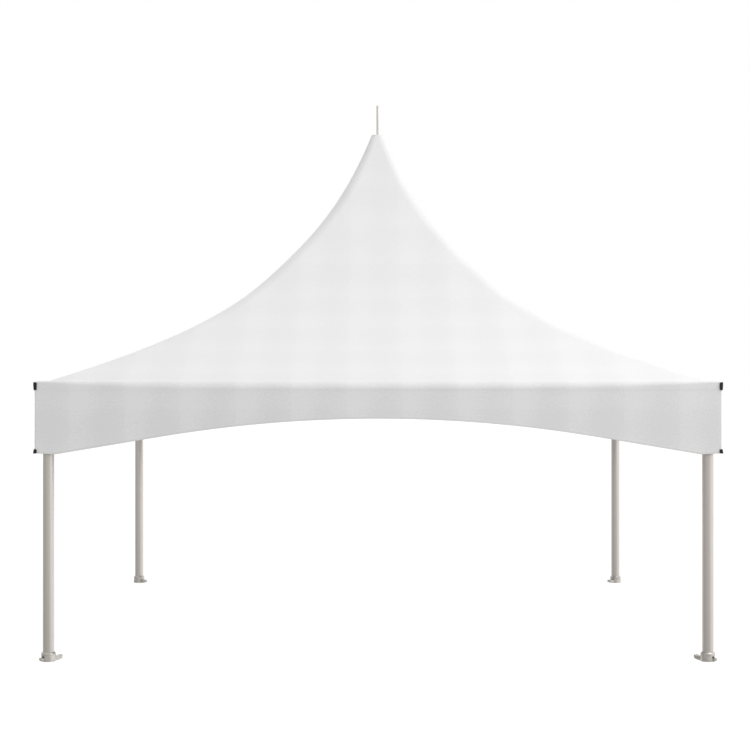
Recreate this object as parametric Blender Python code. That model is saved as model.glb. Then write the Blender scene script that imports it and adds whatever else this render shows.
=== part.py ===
"""A square marquee tent with one tall peak: a stretched roof on four round legs, held up in the middle by a mast.

The mast stands on a hub that four crossing cables carry from the corners of the eave frame, so the floor below is
clear. The origin is on the ground under the mast, +Z is up and the front of the tent faces -Y. Sizes are in metres.
"""

import math

import bpy
import numpy as np

# Play between neighbouring pieces
GAP = 0.0003

# Plan of the tent, measured from its centre
EAVE_HALF = 3.048
LEG_OFFSET = 2.9425
BLOCK_INNER = 2.873

# Roof outline down the middle of each side: a curve to the beam, a short bend, a flat and a round outer edge
ROOF_TOP_HALF = 0.0665
ROOF_TOP_Z = 5.098
ROOF_TOP_ANGLE = math.radians(68.6)
ROOF_TOP_PULL = 1.785
ROOF_MIDDLE = (1.3715, 3.828)
ROOF_LOW_PULL = 2.491
ROOF_LOW_ANGLE = math.radians(20.2)
ROOF_LOW_HALF = 2.925
EAVE_BEND = 0.022
EAVE_TOP_Z = 2.498
EAVE_ROUND = 0.050
SEAM_Z = 2.420

# Fabric, thicker than the real cloth so that it is a solid
FABRIC = 0.004

# The hips are round: nearly a circle at the top, then an arc that grows slowly and tightens again at the eave
HIP_ROUND = 0.16
HIP_TOP_GAIN = 0.37
HIP_TOP_REACH = 0.05
HIP_FALL = 0.945
HIP_FALL_POWER = 6

# Valance: an arch with straight shoulders and a short lift at each corner
HEM_TOP_Z = 2.1643
HEM_BEND = 0.0430
HEM_SHOULDER = 1.95
HEM_LOW_HALF = 2.87
HEM_CORNER_LIFT = 0.011

# Eave beam, a box section with one round edge
BEAM_WIDTH = 0.120
BEAM_HEIGHT = 0.120
BEAM_WALL = 0.004
BEAM_FACE = EAVE_HALF - FABRIC - GAP
BEAM_TOP_Z = EAVE_TOP_Z - FABRIC - GAP
BEAM_BOTTOM_Z = BEAM_TOP_Z - BEAM_HEIGHT

# Leg, base plate and its collar
LEG_RADIUS = 0.051
LEG_WALL = 0.003
PLATE_THICK = 0.018
PLATE_RADIUS = 0.067
INNER_EAR = {"reach": 0.114, "radius": 0.030, "top": 0.040, "hole": 0.0115}
OUTER_EAR = {"reach": 0.077, "radius": 0.019, "top": 0.030, "hole": 0.0065}
COLLAR_RADIUS = 0.0645
COLLAR_LIP_RADIUS = 0.0665
COLLAR_LIP = 0.014
COLLAR_TOP = 0.081
CAST_EDGE = 0.003

# Corner fitting
BLOCK_PLAY = 0.0013
SPIGOT_LENGTH = 0.150
SPIGOT_HEIGHT = 0.058
LEG_SPIGOT_LENGTH = 0.140
LUG_THICK = 0.012
LUG_REACH = 0.070
LUG_HEIGHT = 0.056

# How far solids reach into each other before they become one, and how far a cut runs past a face
OVERLAP = 0.020

# Mast, the pieces at its ends and the spire
MAST_RADIUS = 0.038
MAST_WALL = 0.003
MAST_TOP_Z = 5.040
HUB_BOTTOM_Z = 2.140
HUB_DISC = 0.025
HUB_RADIUS = 0.060
HUB_EDGE = 0.006
HUB_SPIGOT = 0.095
HUB_LUG_REACH = 0.105
HUB_LUG_HEIGHT = 0.060
HEAD_PLUG = 0.080
HEAD_RIM = 0.004
HEAD_SEAT = 0.002
CAP_RADIUS = 0.064
CAP_PLUG_RADIUS = 0.050
CAP_THICK = 0.010
CAP_EDGE = 0.005
SPIRE_RADIUS = 0.0125
SPIRE_ROUND = 0.006
SPIRE_TOP_Z = 5.426

# Cables, with a turnbuckle at the corner end of each
CABLE_RADIUS = 0.005
CABLE_HUB_Z = 2.178
CABLE_CORNER_Z = 2.424
TURNBUCKLE_LENGTH = 0.360
TURNBUCKLE_BODY = 0.210
TURNBUCKLE_RADIUS = 0.014
TURNBUCKLE_ROD = 0.007
TURNBUCKLE_CONE = 0.008

# Straps folded round the corners of the valance
STRAP_PLAY = 0.0009
STRAP_THICK = 0.011
STRAP_ARM = 0.0065
STRAP_EDGE = 0.006
STRAP_END_SHARE = 0.55
TOP_STRAP = (2.419, 2.485)
BOTTOM_STRAP = (1.855, 1.894)
BOTTOM_STRAP_FLARE = 0.2

# Facets of round pieces
LEG_SIDES = 32
MAST_SIDES = 24
ROD_SIDES = 16
CABLE_SIDES = 8
SHARP_ANGLE = math.radians(35)

CORNERS = ("rear_right", "rear_left", "front_left", "front_right")
SIDES = ("front", "right", "rear", "left")


def clear_scene():
    for thing in list(bpy.data.objects):
        bpy.data.objects.remove(thing, do_unlink=True)


def new_material(name, colour, roughness, metallic=0.0):
    material = bpy.data.materials.new(name)
    material.use_nodes = True
    shader = material.node_tree.nodes["Principled BSDF"]
    shader.inputs["Base Color"].default_value = (*colour, 1.0)
    shader.inputs["Roughness"].default_value = roughness
    shader.inputs["Metallic"].default_value = metallic
    return material


def mesh_from(name, points, faces):
    mesh = bpy.data.meshes.new(name)
    mesh.from_pydata([tuple(map(float, point)) for point in points], [], faces)
    mesh.update()
    return mesh


def place(name, mesh, material, parent, location=(0, 0, 0), turn=0.0):
    """One named object that may share its mesh with its copies, turned about the vertical."""
    thing = bpy.data.objects.new(name, mesh)
    bpy.context.scene.collection.objects.link(thing)
    thing.location = location
    thing.rotation_euler = (0, 0, turn)
    thing.parent = parent
    if not mesh.materials:
        mesh.materials.append(material)
        mesh.shade_smooth()
        mesh.set_sharp_from_angle(angle=SHARP_ANGLE)


def fused(name, pieces, cuts=()):
    """One closed mesh from overlapping solids, less the cuts."""
    bodies = [bpy.data.objects.new(name, mesh) for mesh in (*pieces, *cuts)]
    for body in bodies:
        bpy.context.scene.collection.objects.link(body)
    for index, tool in enumerate(bodies[1:], start=1):
        step = bodies[0].modifiers.new("shape", "BOOLEAN")
        step.operation = "UNION" if index < len(pieces) else "DIFFERENCE"
        step.solver = "EXACT"
        step.object = tool
    bpy.context.view_layer.update()
    view = bpy.context.evaluated_depsgraph_get()
    mesh = bpy.data.meshes.new_from_object(bodies[0].evaluated_get(view))
    for body in bodies:
        bpy.data.objects.remove(body, do_unlink=True)
    mesh.name = name
    return mesh


def circle(radius, sides, x=0.0, y=0.0):
    angles = [math.tau * step / sides for step in range(sides)]
    return [(x + radius * math.cos(angle), y + radius * math.sin(angle)) for angle in angles]


def raised(outline, height):
    return [(x, y, height) for x, y in outline]


def ring_faces(rings, count, joined=False):
    """Faces between neighbouring rings of points, with the last ring joined to the first where asked."""
    faces = []
    for ring in range(rings if joined else rings - 1):
        here, there = ring * count, (ring + 1) % rings * count
        for step in range(count):
            after = (step + 1) % count
            faces.append((here + step, here + after, there + after, there + step))
    return faces


def loft(name, rings):
    """A closed solid on rings of points, lowest first, each anticlockwise seen from above."""
    count = len(rings[0])
    points = [point for ring in rings for point in ring]
    ends = [tuple(reversed(range(count))), tuple(range(len(points) - count, len(points)))]
    return mesh_from(name, points, ends + ring_faces(len(rings), count))


def hollow(name, rings):
    """A solid with a way through it: rings of points along the outside and back along the inside."""
    points = [point for ring in rings for point in ring]
    return mesh_from(name, points, ring_faces(len(rings), len(rings[0]), joined=True))


def tube(name, outer, inner, low, high, sides):
    """An open round tube with a real wall."""
    section = ((outer, low), (outer, high), (inner, high), (inner, low))
    return hollow(name, [raised(circle(radius, sides), height) for radius, height in section])


def prism(name, outline, low, high):
    """An upright solid on an outline that runs anticlockwise seen from above."""
    return loft(name, [raised(outline, low), raised(outline, high)])


def box(name, low, high):
    outline = [(low[0], low[1]), (high[0], low[1]), (high[0], high[1]), (low[0], high[1])]
    return prism(name, outline, low[2], high[2])


def turned(name, profile, sides, x=0.0, y=0.0):
    """A solid turned about the vertical from (radius, height) points, lowest first, with flat ends."""
    return loft(name, [raised(circle(radius, sides, x, y), height) for radius, height in profile])


def turned_about_z(mesh, angle):
    turn = np.array([[math.cos(angle), -math.sin(angle)], [math.sin(angle), math.cos(angle)]])
    for vertex in mesh.vertices:
        x, y = turn @ np.array(vertex.co[:2])
        vertex.co = (x, y, vertex.co[2])
    return mesh


def skin(name, outer, inner):
    """A thin closed solid between two matching grids of points, the outer grid facing out."""
    rows, columns = outer.shape[:2]
    points = np.concatenate([outer.reshape(-1, 3), inner.reshape(-1, 3)])
    half = rows * columns
    faces = []
    for row in range(rows - 1):
        for column in range(columns - 1):
            a = row * columns + column
            b, c, d = a + 1, a + columns + 1, a + columns
            faces.append((a, d, c, b))
            faces.append((half + a, half + b, half + c, half + d))
    rim = [column for column in range(columns)]
    rim += [row * columns + columns - 1 for row in range(1, rows)]
    rim += [(rows - 1) * columns + column for column in range(columns - 2, -1, -1)]
    rim += [row * columns for row in range(rows - 2, 0, -1)]
    for here, there in zip(rim, rim[1:] + rim[:1]):
        faces.append((here, there, half + there, half + here))
    return mesh_from(name, points, faces)


def hip_radius(half):
    """Plan radius of the roof's corner where the roof is this wide: near a circle at the top, tight at the eave."""
    free = half * HIP_ROUND / (half + HIP_ROUND)
    gain = 1 + HIP_TOP_GAIN * math.exp((ROOF_TOP_HALF - half) / HIP_TOP_REACH)
    return free * gain * (1 - HIP_FALL * (half / EAVE_HALF) ** HIP_FALL_POWER)


def side_section(half, flats, arcs):
    """Plan points and outward directions of the front side, from its left hip to its right hip."""
    radius = hip_radius(half)
    centre = half - radius
    points, normals = [], []
    for step in range(arcs):
        angle = math.radians(225 + 45 * step / arcs)
        normals.append((math.cos(angle), math.sin(angle)))
        points.append((-centre + radius * math.cos(angle), -centre + radius * math.sin(angle)))
    for step in range(flats + 1):
        normals.append((0.0, -1.0))
        points.append((centre * (2 * step / flats - 1), -half))
    for step in range(1, arcs + 1):
        angle = math.radians(270 + 45 * step / arcs)
        normals.append((math.cos(angle), math.sin(angle)))
        points.append((centre + radius * math.cos(angle), -centre + radius * math.sin(angle)))
    return np.array(points), np.array(normals)


def blend(controls, s):
    """The point of a Bezier curve of any degree at parameter s."""
    degree = len(controls) - 1
    return sum(math.comb(degree, k) * s**k * (1 - s) ** (degree - k) * point for k, point in enumerate(controls))


def bezier(controls, steps):
    """Points and directions along a Bezier curve, at even steps of its parameter."""
    degree = len(controls) - 1
    controls = np.array(controls)
    turns = degree * np.diff(controls, axis=0)
    rows = []
    for s in np.linspace(0, 1, steps):
        rows.append((blend(controls, s), blend(turns, s)))
    return rows


def roof_rows(steps):
    """Half-width, height and lean of the outward direction for each row of the roof, top to seam."""
    top = np.array([ROOF_TOP_HALF, ROOF_TOP_Z])
    first = top + ROOF_TOP_PULL * np.array([math.cos(ROOF_TOP_ANGLE), -math.sin(ROOF_TOP_ANGLE)])
    fall = np.array([math.cos(ROOF_LOW_ANGLE), -math.sin(ROOF_LOW_ANGLE)])
    flat_start = np.array([ROOF_LOW_HALF + EAVE_BEND, EAVE_TOP_Z])
    low = flat_start - EAVE_BEND / fall[0] * fall
    flat = flat_start + (EAVE_BEND, 0)
    curve = bezier([top, first, ROOF_MIDDLE, low - ROOF_LOW_PULL * fall, low], steps)
    bend = bezier([low, flat_start, flat], 4)[1:]
    rows = [(point[0], point[1], math.atan2(along[0], -along[1])) for point, along in curve + bend]
    return rows + eave_rows() + [(EAVE_HALF, SEAM_Z, 0.0)]


def eave_rows():
    """The rows round the eave, from its flat top to its upright face."""
    angles = [math.radians(angle) for angle in (90, 72, 54, 36, 18, 0)]
    centre = (EAVE_HALF - EAVE_ROUND, EAVE_TOP_Z - EAVE_ROUND)
    return [
        (centre[0] + EAVE_ROUND * math.cos(angle), centre[1] + EAVE_ROUND * math.sin(angle), angle)
        for angle in angles
    ]


def canopy_mesh():
    """One side of the roof between two hips, from the top ring over the eave to the valance seam."""
    outer, inner = [], []
    for half, height, lean in roof_rows(18):
        points, normals = side_section(half, flats=6, arcs=3)
        tall = np.full((len(points), 1), height)
        outer.append(np.hstack([points, tall]))
        drop = np.hstack([normals * math.cos(lean), np.full((len(points), 1), math.sin(lean))])
        inner.append(outer[-1] - FABRIC * drop)
    shift = np.array([0, -GAP * math.sqrt(0.5), 0])
    return skin("canopy", np.array(outer) + shift, np.array(inner) + shift)


def hem_height(x):
    """Height of the valance's hem: a flat arch, straight shoulders, and a lift outside the legs."""
    x = abs(x)
    bend = HEM_TOP_Z - HEM_BEND * min(x, HEM_SHOULDER) ** 2
    low = bend - 2 * HEM_BEND * HEM_SHOULDER * max(0.0, min(x, HEM_LOW_HALF) - HEM_SHOULDER)
    return low + HEM_CORNER_LIFT * max(0.0, x - HEM_LOW_HALF) / (EAVE_HALF - HEM_LOW_HALF)


def valance_mesh():
    """The upright band below one side of the roof, mitred at the corners."""
    points, normals = side_section(EAVE_HALF, flats=30, arcs=3)
    top = np.full((len(points), 1), SEAM_Z - GAP)
    hem = np.array([[hem_height(x)] for x, y in points])
    back = FABRIC * np.hstack([normals, np.zeros((len(points), 1))])
    outer = np.array([np.hstack([points, top]), np.hstack([points, hem])])
    shift = np.array([0, -GAP * math.sqrt(0.5), 0])
    return skin("valance", outer + shift, outer - back + shift)


def beam_mesh():
    """A box beam along the front, hollow and open at both ends, with a round outer top edge."""
    def section(inset):
        back = BEAM_FACE - BEAM_WIDTH + inset
        low = BEAM_BOTTOM_Z + inset
        shrink = FABRIC + GAP + inset
        rim = [
            (half - shrink * math.cos(angle), height - shrink * math.sin(angle))
            for half, height, angle in reversed(eave_rows())
        ]
        return [(back, low), (BEAM_FACE - inset, low), *rim, (back, BEAM_TOP_Z - inset)]

    end = BLOCK_INNER - GAP
    outline, inside = section(0.0), section(BEAM_WALL)
    rings = [
        [(x, -out, height) for out, height in ring]
        for ring, x in ((outline, end), (outline, -end), (inside, -end), (inside, end))
    ]
    return hollow("eave_beam", rings)


def block_mesh():
    """The rear right corner block: a square that is round on its outer corner and leans in under the roof's eave."""
    arcs = 6
    clear = FABRIC + BLOCK_PLAY
    rings = []
    for half, height, lean in [(EAVE_HALF, BEAM_BOTTOM_Z, 0.0), *reversed(eave_rows())]:
        radius = hip_radius(half)
        centre = half - radius
        radius -= clear * math.cos(lean)
        outline = [(BLOCK_INNER, BLOCK_INNER), (centre + radius, BLOCK_INNER)]
        for step in range(arcs + 1):
            angle = math.pi / 2 * step / arcs
            outline.append((centre + radius * math.cos(angle), centre + radius * math.sin(angle)))
        outline.append((BLOCK_INNER, centre + radius))
        rings.append(raised(outline, height - clear * math.sin(lean)))
    return loft("corner_block", rings)


def corner_fitting_mesh():
    """The rear right corner: a block with a spigot in each beam, one in the leg, and a lug for the cable."""
    low = BEAM_BOTTOM_Z + BEAM_WALL + GAP
    high = low + SPIGOT_HEIGHT
    near, far = BEAM_FACE - BEAM_WIDTH + BEAM_WALL + GAP, BEAM_FACE - BEAM_WALL - GAP
    start, end = BLOCK_INNER - SPIGOT_LENGTH, BLOCK_INNER + OVERLAP
    along_x = box("spigot", (start, near, low), (end, far, high))
    along_y = box("spigot", (near, start, low), (far, end, high))
    plug_radius = LEG_RADIUS - LEG_WALL - GAP
    plug_profile = [(plug_radius, BEAM_BOTTOM_Z - LEG_SPIGOT_LENGTH), (plug_radius, BEAM_BOTTOM_Z + OVERLAP)]
    plug = turned("plug", plug_profile, LEG_SIDES, LEG_OFFSET, LEG_OFFSET)
    corner = BLOCK_INNER * math.sqrt(2)
    lug = box(
        "lug",
        (corner - LUG_REACH, -LUG_THICK / 2, CABLE_CORNER_Z - LUG_HEIGHT / 2),
        (corner + OVERLAP, LUG_THICK / 2, CABLE_CORNER_Z + LUG_HEIGHT / 2),
    )
    turned_about_z(lug, math.radians(45))
    return fused("corner_fitting", [block_mesh(), along_x, along_y, plug, lug])


def level_underside(mesh):
    """Puts the points that lie on the ground exactly on it, so that the underside is one plane."""
    for vertex in mesh.vertices:
        if abs(vertex.co.z) < GAP:
            vertex.co.z = 0.0


def ear_outline(reach, radius):
    """Plan of an ear: a half circle that runs straight back past the middle of the plate."""
    steps = 10
    outline = [(-OVERLAP, radius), (-OVERLAP, -radius)]
    for step in range(steps + 1):
        angle = -math.pi / 2 + math.pi * step / steps
        outline.append((reach + radius * math.cos(angle), radius * math.sin(angle)))
    return outline


def ear_meshes(ear):
    """An ear that lies along +X, and the cut for its stake hole."""
    solid = prism("ear", ear_outline(ear["reach"], ear["radius"]), 0.0, ear["top"])
    hole = prism("hole", circle(ear["hole"], ROD_SIDES, ear["reach"]), -OVERLAP, ear["top"] + OVERLAP)
    return solid, hole


def base_plate_mesh():
    """A cast foot: a round plate with two ears and stake holes, and a lipped collar that the leg stands in."""
    plate = prism("plate", circle(PLATE_RADIUS, LEG_SIDES), 0.0, PLATE_THICK)
    inner_ear, inner_hole = ear_meshes(INNER_EAR)
    outer_ear, outer_hole = ear_meshes(OUTER_EAR)
    for mesh in (outer_ear, outer_hole):
        turned_about_z(mesh, math.pi)
    collar_profile = [
        (COLLAR_RADIUS, PLATE_THICK / 2),
        (COLLAR_RADIUS, COLLAR_TOP - COLLAR_LIP),
        (COLLAR_LIP_RADIUS, COLLAR_TOP - COLLAR_LIP + CAST_EDGE),
        (COLLAR_LIP_RADIUS, COLLAR_TOP - CAST_EDGE),
        (COLLAR_LIP_RADIUS - CAST_EDGE, COLLAR_TOP),
    ]
    collar = turned("collar", collar_profile, LEG_SIDES)
    socket = prism("socket", circle(LEG_RADIUS + GAP, LEG_SIDES), PLATE_THICK, COLLAR_TOP + OVERLAP)
    foot = fused("base_plate", [plate, inner_ear, outer_ear, collar], [socket, inner_hole, outer_hole])
    level_underside(foot)
    return foot


def hub_mesh():
    """The cable hub: a disc with a spigot up into the mast and four lugs on the diagonals."""
    radius = MAST_RADIUS - MAST_WALL - GAP
    top = HUB_BOTTOM_Z + HUB_DISC
    profile = [
        (HUB_RADIUS - HUB_EDGE, HUB_BOTTOM_Z),
        (HUB_RADIUS, HUB_BOTTOM_Z + HUB_EDGE),
        (HUB_RADIUS, top),
        (radius, top),
        (radius, top + HUB_SPIGOT),
    ]
    lugs = []
    for quarter in range(4):
        low = (HUB_RADIUS - OVERLAP / 2, -LUG_THICK / 2, HUB_BOTTOM_Z + HUB_EDGE)
        high = (HUB_LUG_REACH, LUG_THICK / 2, HUB_BOTTOM_Z + HUB_LUG_HEIGHT)
        lugs.append(turned_about_z(box("lug", low, high), math.radians(45 + 90 * quarter)))
    return fused("mast_hub", [turned("core", profile, MAST_SIDES), *lugs])


def cable_line():
    """Ends of the line from the hub lug to the corner lug, as distance along the diagonal and height."""
    start = np.array([HUB_LUG_REACH, CABLE_HUB_Z])
    end = np.array([BLOCK_INNER * math.sqrt(2) - LUG_REACH, CABLE_CORNER_Z])
    along = (end - start) / np.linalg.norm(end - start)
    play = GAP + TURNBUCKLE_ROD * along[1]
    return start + play * along, end - play * along, along


def along_diagonal(mesh, start, along):
    """Lays a solid turned about the vertical along the cable's line on the first diagonal."""
    root = math.sqrt(0.5)
    for vertex in mesh.vertices:
        x, y, z = vertex.co
        out = start[0] + z * along[0] - x * along[1]
        height = start[1] + z * along[1] + x * along[0]
        vertex.co = (root * (out - y), root * (out + y), height)
    mesh.flip_normals()
    return mesh


def cable_mesh():
    start, end, along = cable_line()
    length = np.linalg.norm(end - start) - TURNBUCKLE_LENGTH - GAP
    cable = turned("cable", [(CABLE_RADIUS, 0), (CABLE_RADIUS, length)], CABLE_SIDES)
    return along_diagonal(cable, start, along)


def turnbuckle_mesh():
    """A screw body with a rod at each end, between the cable and the corner lug."""
    start, end, along = cable_line()
    body_start = (TURNBUCKLE_LENGTH - TURNBUCKLE_BODY) / 2
    body_end = body_start + TURNBUCKLE_BODY
    profile = [
        (TURNBUCKLE_ROD, 0),
        (TURNBUCKLE_ROD, body_start),
        (TURNBUCKLE_RADIUS, body_start + TURNBUCKLE_CONE),
        (TURNBUCKLE_RADIUS, body_end - TURNBUCKLE_CONE),
        (TURNBUCKLE_ROD, body_end),
        (TURNBUCKLE_ROD, TURNBUCKLE_LENGTH),
    ]
    turnbuckle = turned("turnbuckle", profile, ROD_SIDES)
    return along_diagonal(turnbuckle, end - TURNBUCKLE_LENGTH * along, along)


def mast_head_mesh():
    """The plug that closes the mast and flares out to carry the roof's top ring."""
    plug = MAST_RADIUS - MAST_WALL - GAP
    rim = ROOF_TOP_HALF - FABRIC * math.sin(ROOF_TOP_ANGLE) - GAP
    seat = MAST_TOP_Z + GAP
    top = ROOF_TOP_Z - HEAD_SEAT
    profile = [
        (plug, seat - HEAD_PLUG),
        (plug, seat),
        (MAST_RADIUS, seat),
        (rim - CAST_EDGE, top - HEAD_RIM - CAST_EDGE),
        (rim, top - HEAD_RIM),
        (rim, top),
    ]
    return turned("mast_head", profile, MAST_SIDES)


def cap_mesh():
    """The round cover on top of the roof, with a soft edge and a plug that rests on the mast head."""
    low = ROOF_TOP_Z + GAP
    profile = [
        (CAP_PLUG_RADIUS, low - HEAD_SEAT),
        (CAP_PLUG_RADIUS, low),
        (CAP_RADIUS, low),
        (CAP_RADIUS, low + CAP_THICK - CAP_EDGE),
        (CAP_RADIUS - CAP_EDGE, low + CAP_THICK),
    ]
    return turned("mast_cap", profile, MAST_SIDES)


def spire_mesh():
    low = ROOF_TOP_Z + CAP_THICK + 2 * GAP
    profile = [(SPIRE_RADIUS, low)]
    for angle in (0, 30, 60):
        lean = math.radians(angle)
        profile.append((SPIRE_RADIUS * math.cos(lean), SPIRE_TOP_Z - SPIRE_ROUND * (1 - math.sin(lean))))
    profile.append((SPIRE_RADIUS / 4, SPIRE_TOP_Z))
    return turned("spire", profile, ROD_SIDES)


def strap_mesh(name, span, flare):
    """A thick tab folded round the rear right corner of the valance; flare swells its foot."""
    radius = hip_radius(EAVE_HALF)
    centre = EAVE_HALF - radius
    near = radius + STRAP_PLAY
    arm = centre - STRAP_ARM
    angles = np.radians(np.linspace(0, 90, 5))
    corner = list(zip(np.cos(angles), np.sin(angles)))
    low, high = span
    rings = []
    for height, share in (
        (low, STRAP_END_SHARE),
        (low + STRAP_EDGE, 1 + flare),
        (high - STRAP_EDGE, 1 - flare),
        (high, STRAP_END_SHARE * (1 - flare)),
    ):
        far = near + STRAP_THICK * share
        outside = [(centre + far * x, centre + far * y) for x, y in corner]
        inside = [(centre + near * x, centre + near * y) for x, y in reversed(corner)]
        ends = [(centre + far, arm)], [(arm, centre + far), (arm, centre + near)], [(centre + near, arm)]
        rings.append(raised([*ends[0], *outside, *ends[1], *inside, *ends[2]], height))
    return loft(name, rings)


def build():
    clear_scene()
    vinyl = new_material("coated white vinyl", (0.86, 0.86, 0.85), 0.45)
    alloy = new_material("satin aluminium", (0.62, 0.60, 0.58), 0.38, 1.0)
    cast = new_material("cast aluminium", (0.55, 0.53, 0.50), 0.55, 1.0)
    steel = new_material("galvanised steel", (0.60, 0.61, 0.62), 0.40, 1.0)
    webbing = new_material("black webbing", (0.02, 0.02, 0.02), 0.75)

    tent = bpy.data.objects.new("tent", None)
    bpy.context.scene.collection.objects.link(tent)

    leg_inner = LEG_RADIUS - LEG_WALL
    leg = tube("leg", LEG_RADIUS, leg_inner, PLATE_THICK + GAP, BEAM_BOTTOM_Z - GAP, LEG_SIDES)
    plate = base_plate_mesh()
    fitting = corner_fitting_mesh()
    cable = cable_mesh()
    turnbuckle = turnbuckle_mesh()
    top_strap = strap_mesh("top_strap", TOP_STRAP, 0.0)
    bottom_strap = strap_mesh("bottom_strap", BOTTOM_STRAP, BOTTOM_STRAP_FLARE)
    for quarter, corner in enumerate(CORNERS):
        turn = math.radians(90 * quarter)
        x = LEG_OFFSET if quarter in (0, 3) else -LEG_OFFSET
        y = LEG_OFFSET if quarter in (0, 1) else -LEG_OFFSET
        place(f"leg_{corner}", leg, alloy, tent, (x, y, 0))
        place(f"base_plate_{corner}", plate, cast, tent, (x, y, 0), turn + math.radians(225))
        place(f"corner_fitting_{corner}", fitting, cast, tent, turn=turn)
        place(f"cable_{corner}", cable, steel, tent, turn=turn)
        place(f"turnbuckle_{corner}", turnbuckle, steel, tent, turn=turn)
        place(f"corner_strap_top_{corner}", top_strap, webbing, tent, turn=turn)
        place(f"corner_strap_bottom_{corner}", bottom_strap, webbing, tent, turn=turn)

    beam = beam_mesh()
    canopy = canopy_mesh()
    valance = valance_mesh()
    for quarter, side in enumerate(SIDES):
        turn = math.radians(90 * quarter)
        place(f"eave_beam_{side}", beam, alloy, tent, turn=turn)
        place(f"canopy_{side}", canopy, vinyl, tent, turn=turn)
        place(f"valance_{side}", valance, vinyl, tent, turn=turn)

    mast_low = HUB_BOTTOM_Z + HUB_DISC + GAP
    mast = tube("mast", MAST_RADIUS, MAST_RADIUS - MAST_WALL, mast_low, MAST_TOP_Z, MAST_SIDES)
    place("mast", mast, alloy, tent)
    place("mast_hub", hub_mesh(), cast, tent)
    place("mast_head", mast_head_mesh(), cast, tent)
    place("mast_cap", cap_mesh(), vinyl, tent)
    place("spire", spire_mesh(), alloy, tent)


build()
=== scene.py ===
"""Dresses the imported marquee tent: cloth, welds, rope, castings, webbing, and a plain studio to see them in.

Run as a script. Every shape is worked out with numpy, in metres, in the CAD model's own frame: the origin is
on the ground under the mast, +Z is up and the tent's front faces -Y. A shape is a list of grids of points, so
that adding two shapes joins them.
"""

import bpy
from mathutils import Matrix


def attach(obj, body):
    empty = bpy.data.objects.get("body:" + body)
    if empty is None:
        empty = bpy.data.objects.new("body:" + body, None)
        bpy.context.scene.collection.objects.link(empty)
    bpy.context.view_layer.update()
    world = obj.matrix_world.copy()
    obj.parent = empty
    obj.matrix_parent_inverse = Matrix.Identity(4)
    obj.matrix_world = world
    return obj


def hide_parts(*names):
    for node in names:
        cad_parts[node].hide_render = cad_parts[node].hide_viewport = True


bl_info = {
    "name": "High Peak Marquee Tent",
    "version": (1, 0, 0),
    "blender": (4, 5, 0),
    "location": "3D View > Sidebar > Marquee",
    "description": "Cloth, frame and fittings of a square high peak marquee tent",
    "category": "Add Mesh",
}

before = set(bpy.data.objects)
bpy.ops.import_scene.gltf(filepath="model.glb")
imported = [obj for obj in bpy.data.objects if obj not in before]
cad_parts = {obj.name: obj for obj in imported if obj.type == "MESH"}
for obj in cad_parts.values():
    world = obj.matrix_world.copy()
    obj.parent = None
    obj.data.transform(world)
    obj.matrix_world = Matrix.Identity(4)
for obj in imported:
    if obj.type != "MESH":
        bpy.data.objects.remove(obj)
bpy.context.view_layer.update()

import math

import bmesh
import bpy
import numpy as np
from bpy.props import FloatProperty, FloatVectorProperty, IntProperty, PointerProperty
from mathutils import Vector

# Plan and heights of the CAD model
EAVE_HALF = 3.048
LEG_OFFSET = 2.9425
BLOCK_INNER = 2.873
ROOF_TOP = (0.0665, 5.098)
ROOF_TOP_ANGLE = math.radians(68.6)
ROOF_TOP_PULL = 1.785
ROOF_MIDDLE = (1.3715, 3.828)
ROOF_LOW_PULL = 2.491
ROOF_LOW_ANGLE = math.radians(20.2)
ROOF_LOW_HALF = 2.925
EAVE_BEND = 0.022
EAVE_TOP_Z = 2.498
EAVE_ROUND = 0.050
SEAM_Z = 2.420
HIP_ROUND = 0.16
HIP_TOP_GAIN = 0.37
HIP_TOP_REACH = 0.05
HIP_FALL = 0.945
HIP_FALL_POWER = 6
HEM_TOP_Z = 2.1643
HEM_BEND = 0.0430
HEM_SHOULDER = 1.95
HEM_LOW_HALF = 2.87
HEM_CORNER_LIFT = 0.011
BEAM_WIDTH = 0.120
BEAM_FACE = 3.0437
BEAM_BACK = BEAM_FACE - BEAM_WIDTH
BEAM_TOP_Z = 2.4937
BEAM_BOTTOM_Z = 2.3737
LEG_RADIUS = 0.051
MAST_RADIUS = 0.038
MAST_INSERT = 0.0347
MAST_TOP_Z = 5.040
CABLE_HUB = (0.105, 2.178)
CABLE_CORNER = (3.993, 2.424)
LUG_HOLE = 0.0075
LUG_HALF = 0.006
TURNBUCKLE_LENGTH = 0.360
TURNBUCKLE_BODY = 0.210
CAP_RADIUS = 0.064
CAP_TOP_Z = 5.1083
SPIRE_TOP_Z = 5.426
SPIRE_RADIUS = 0.0125

# Tube walls and their cut edges, and gaps that keep the faces of neighbouring pieces apart
TUBE_WALL = 0.003
TUBE_EDGE = 0.0006
GAP = 0.0003
CLOTH_GAP = 0.0002

# The cloth turns over the eave in a wide round at the middle of each side and in a tight one at the corners
CLOTH_ROUND_MIDDLE = 0.069
CLOTH_ROUND_CORNER = 0.010
CLOTH_ROUND_POWER = 4
CORNER_DROP = 0.0055
CORNER_DROP_POWER = 40
BEAM_ROUND = 0.066

# The cloth's laps: the collar's distance down the roof, the valance's overlap at the seam, and how much
# narrower that seam's weld is on each side
COLLAR_LAP = 0.30
SEAM_LAP = 0.008
SEAM_NARROWER = 0.004

# Strips of tone across the cloth and up it: their pitch as a share of the strip size, and where one ends; the
# strips added so that the count stays positive; and the phase of the ripple that goes with them
STRIPS = (("X", 1.0, 0.2115), ("Y", 1.076, 0.36))
STRIPS_BEFORE = 20
RIPPLE_START = 0.4

# Hem tape: the angles between which it goes round the bead, in degrees, and the slope of its sewn edges
TAPE_WRAP = (35, -215)
TAPE_EDGE = 0.0008

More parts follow.
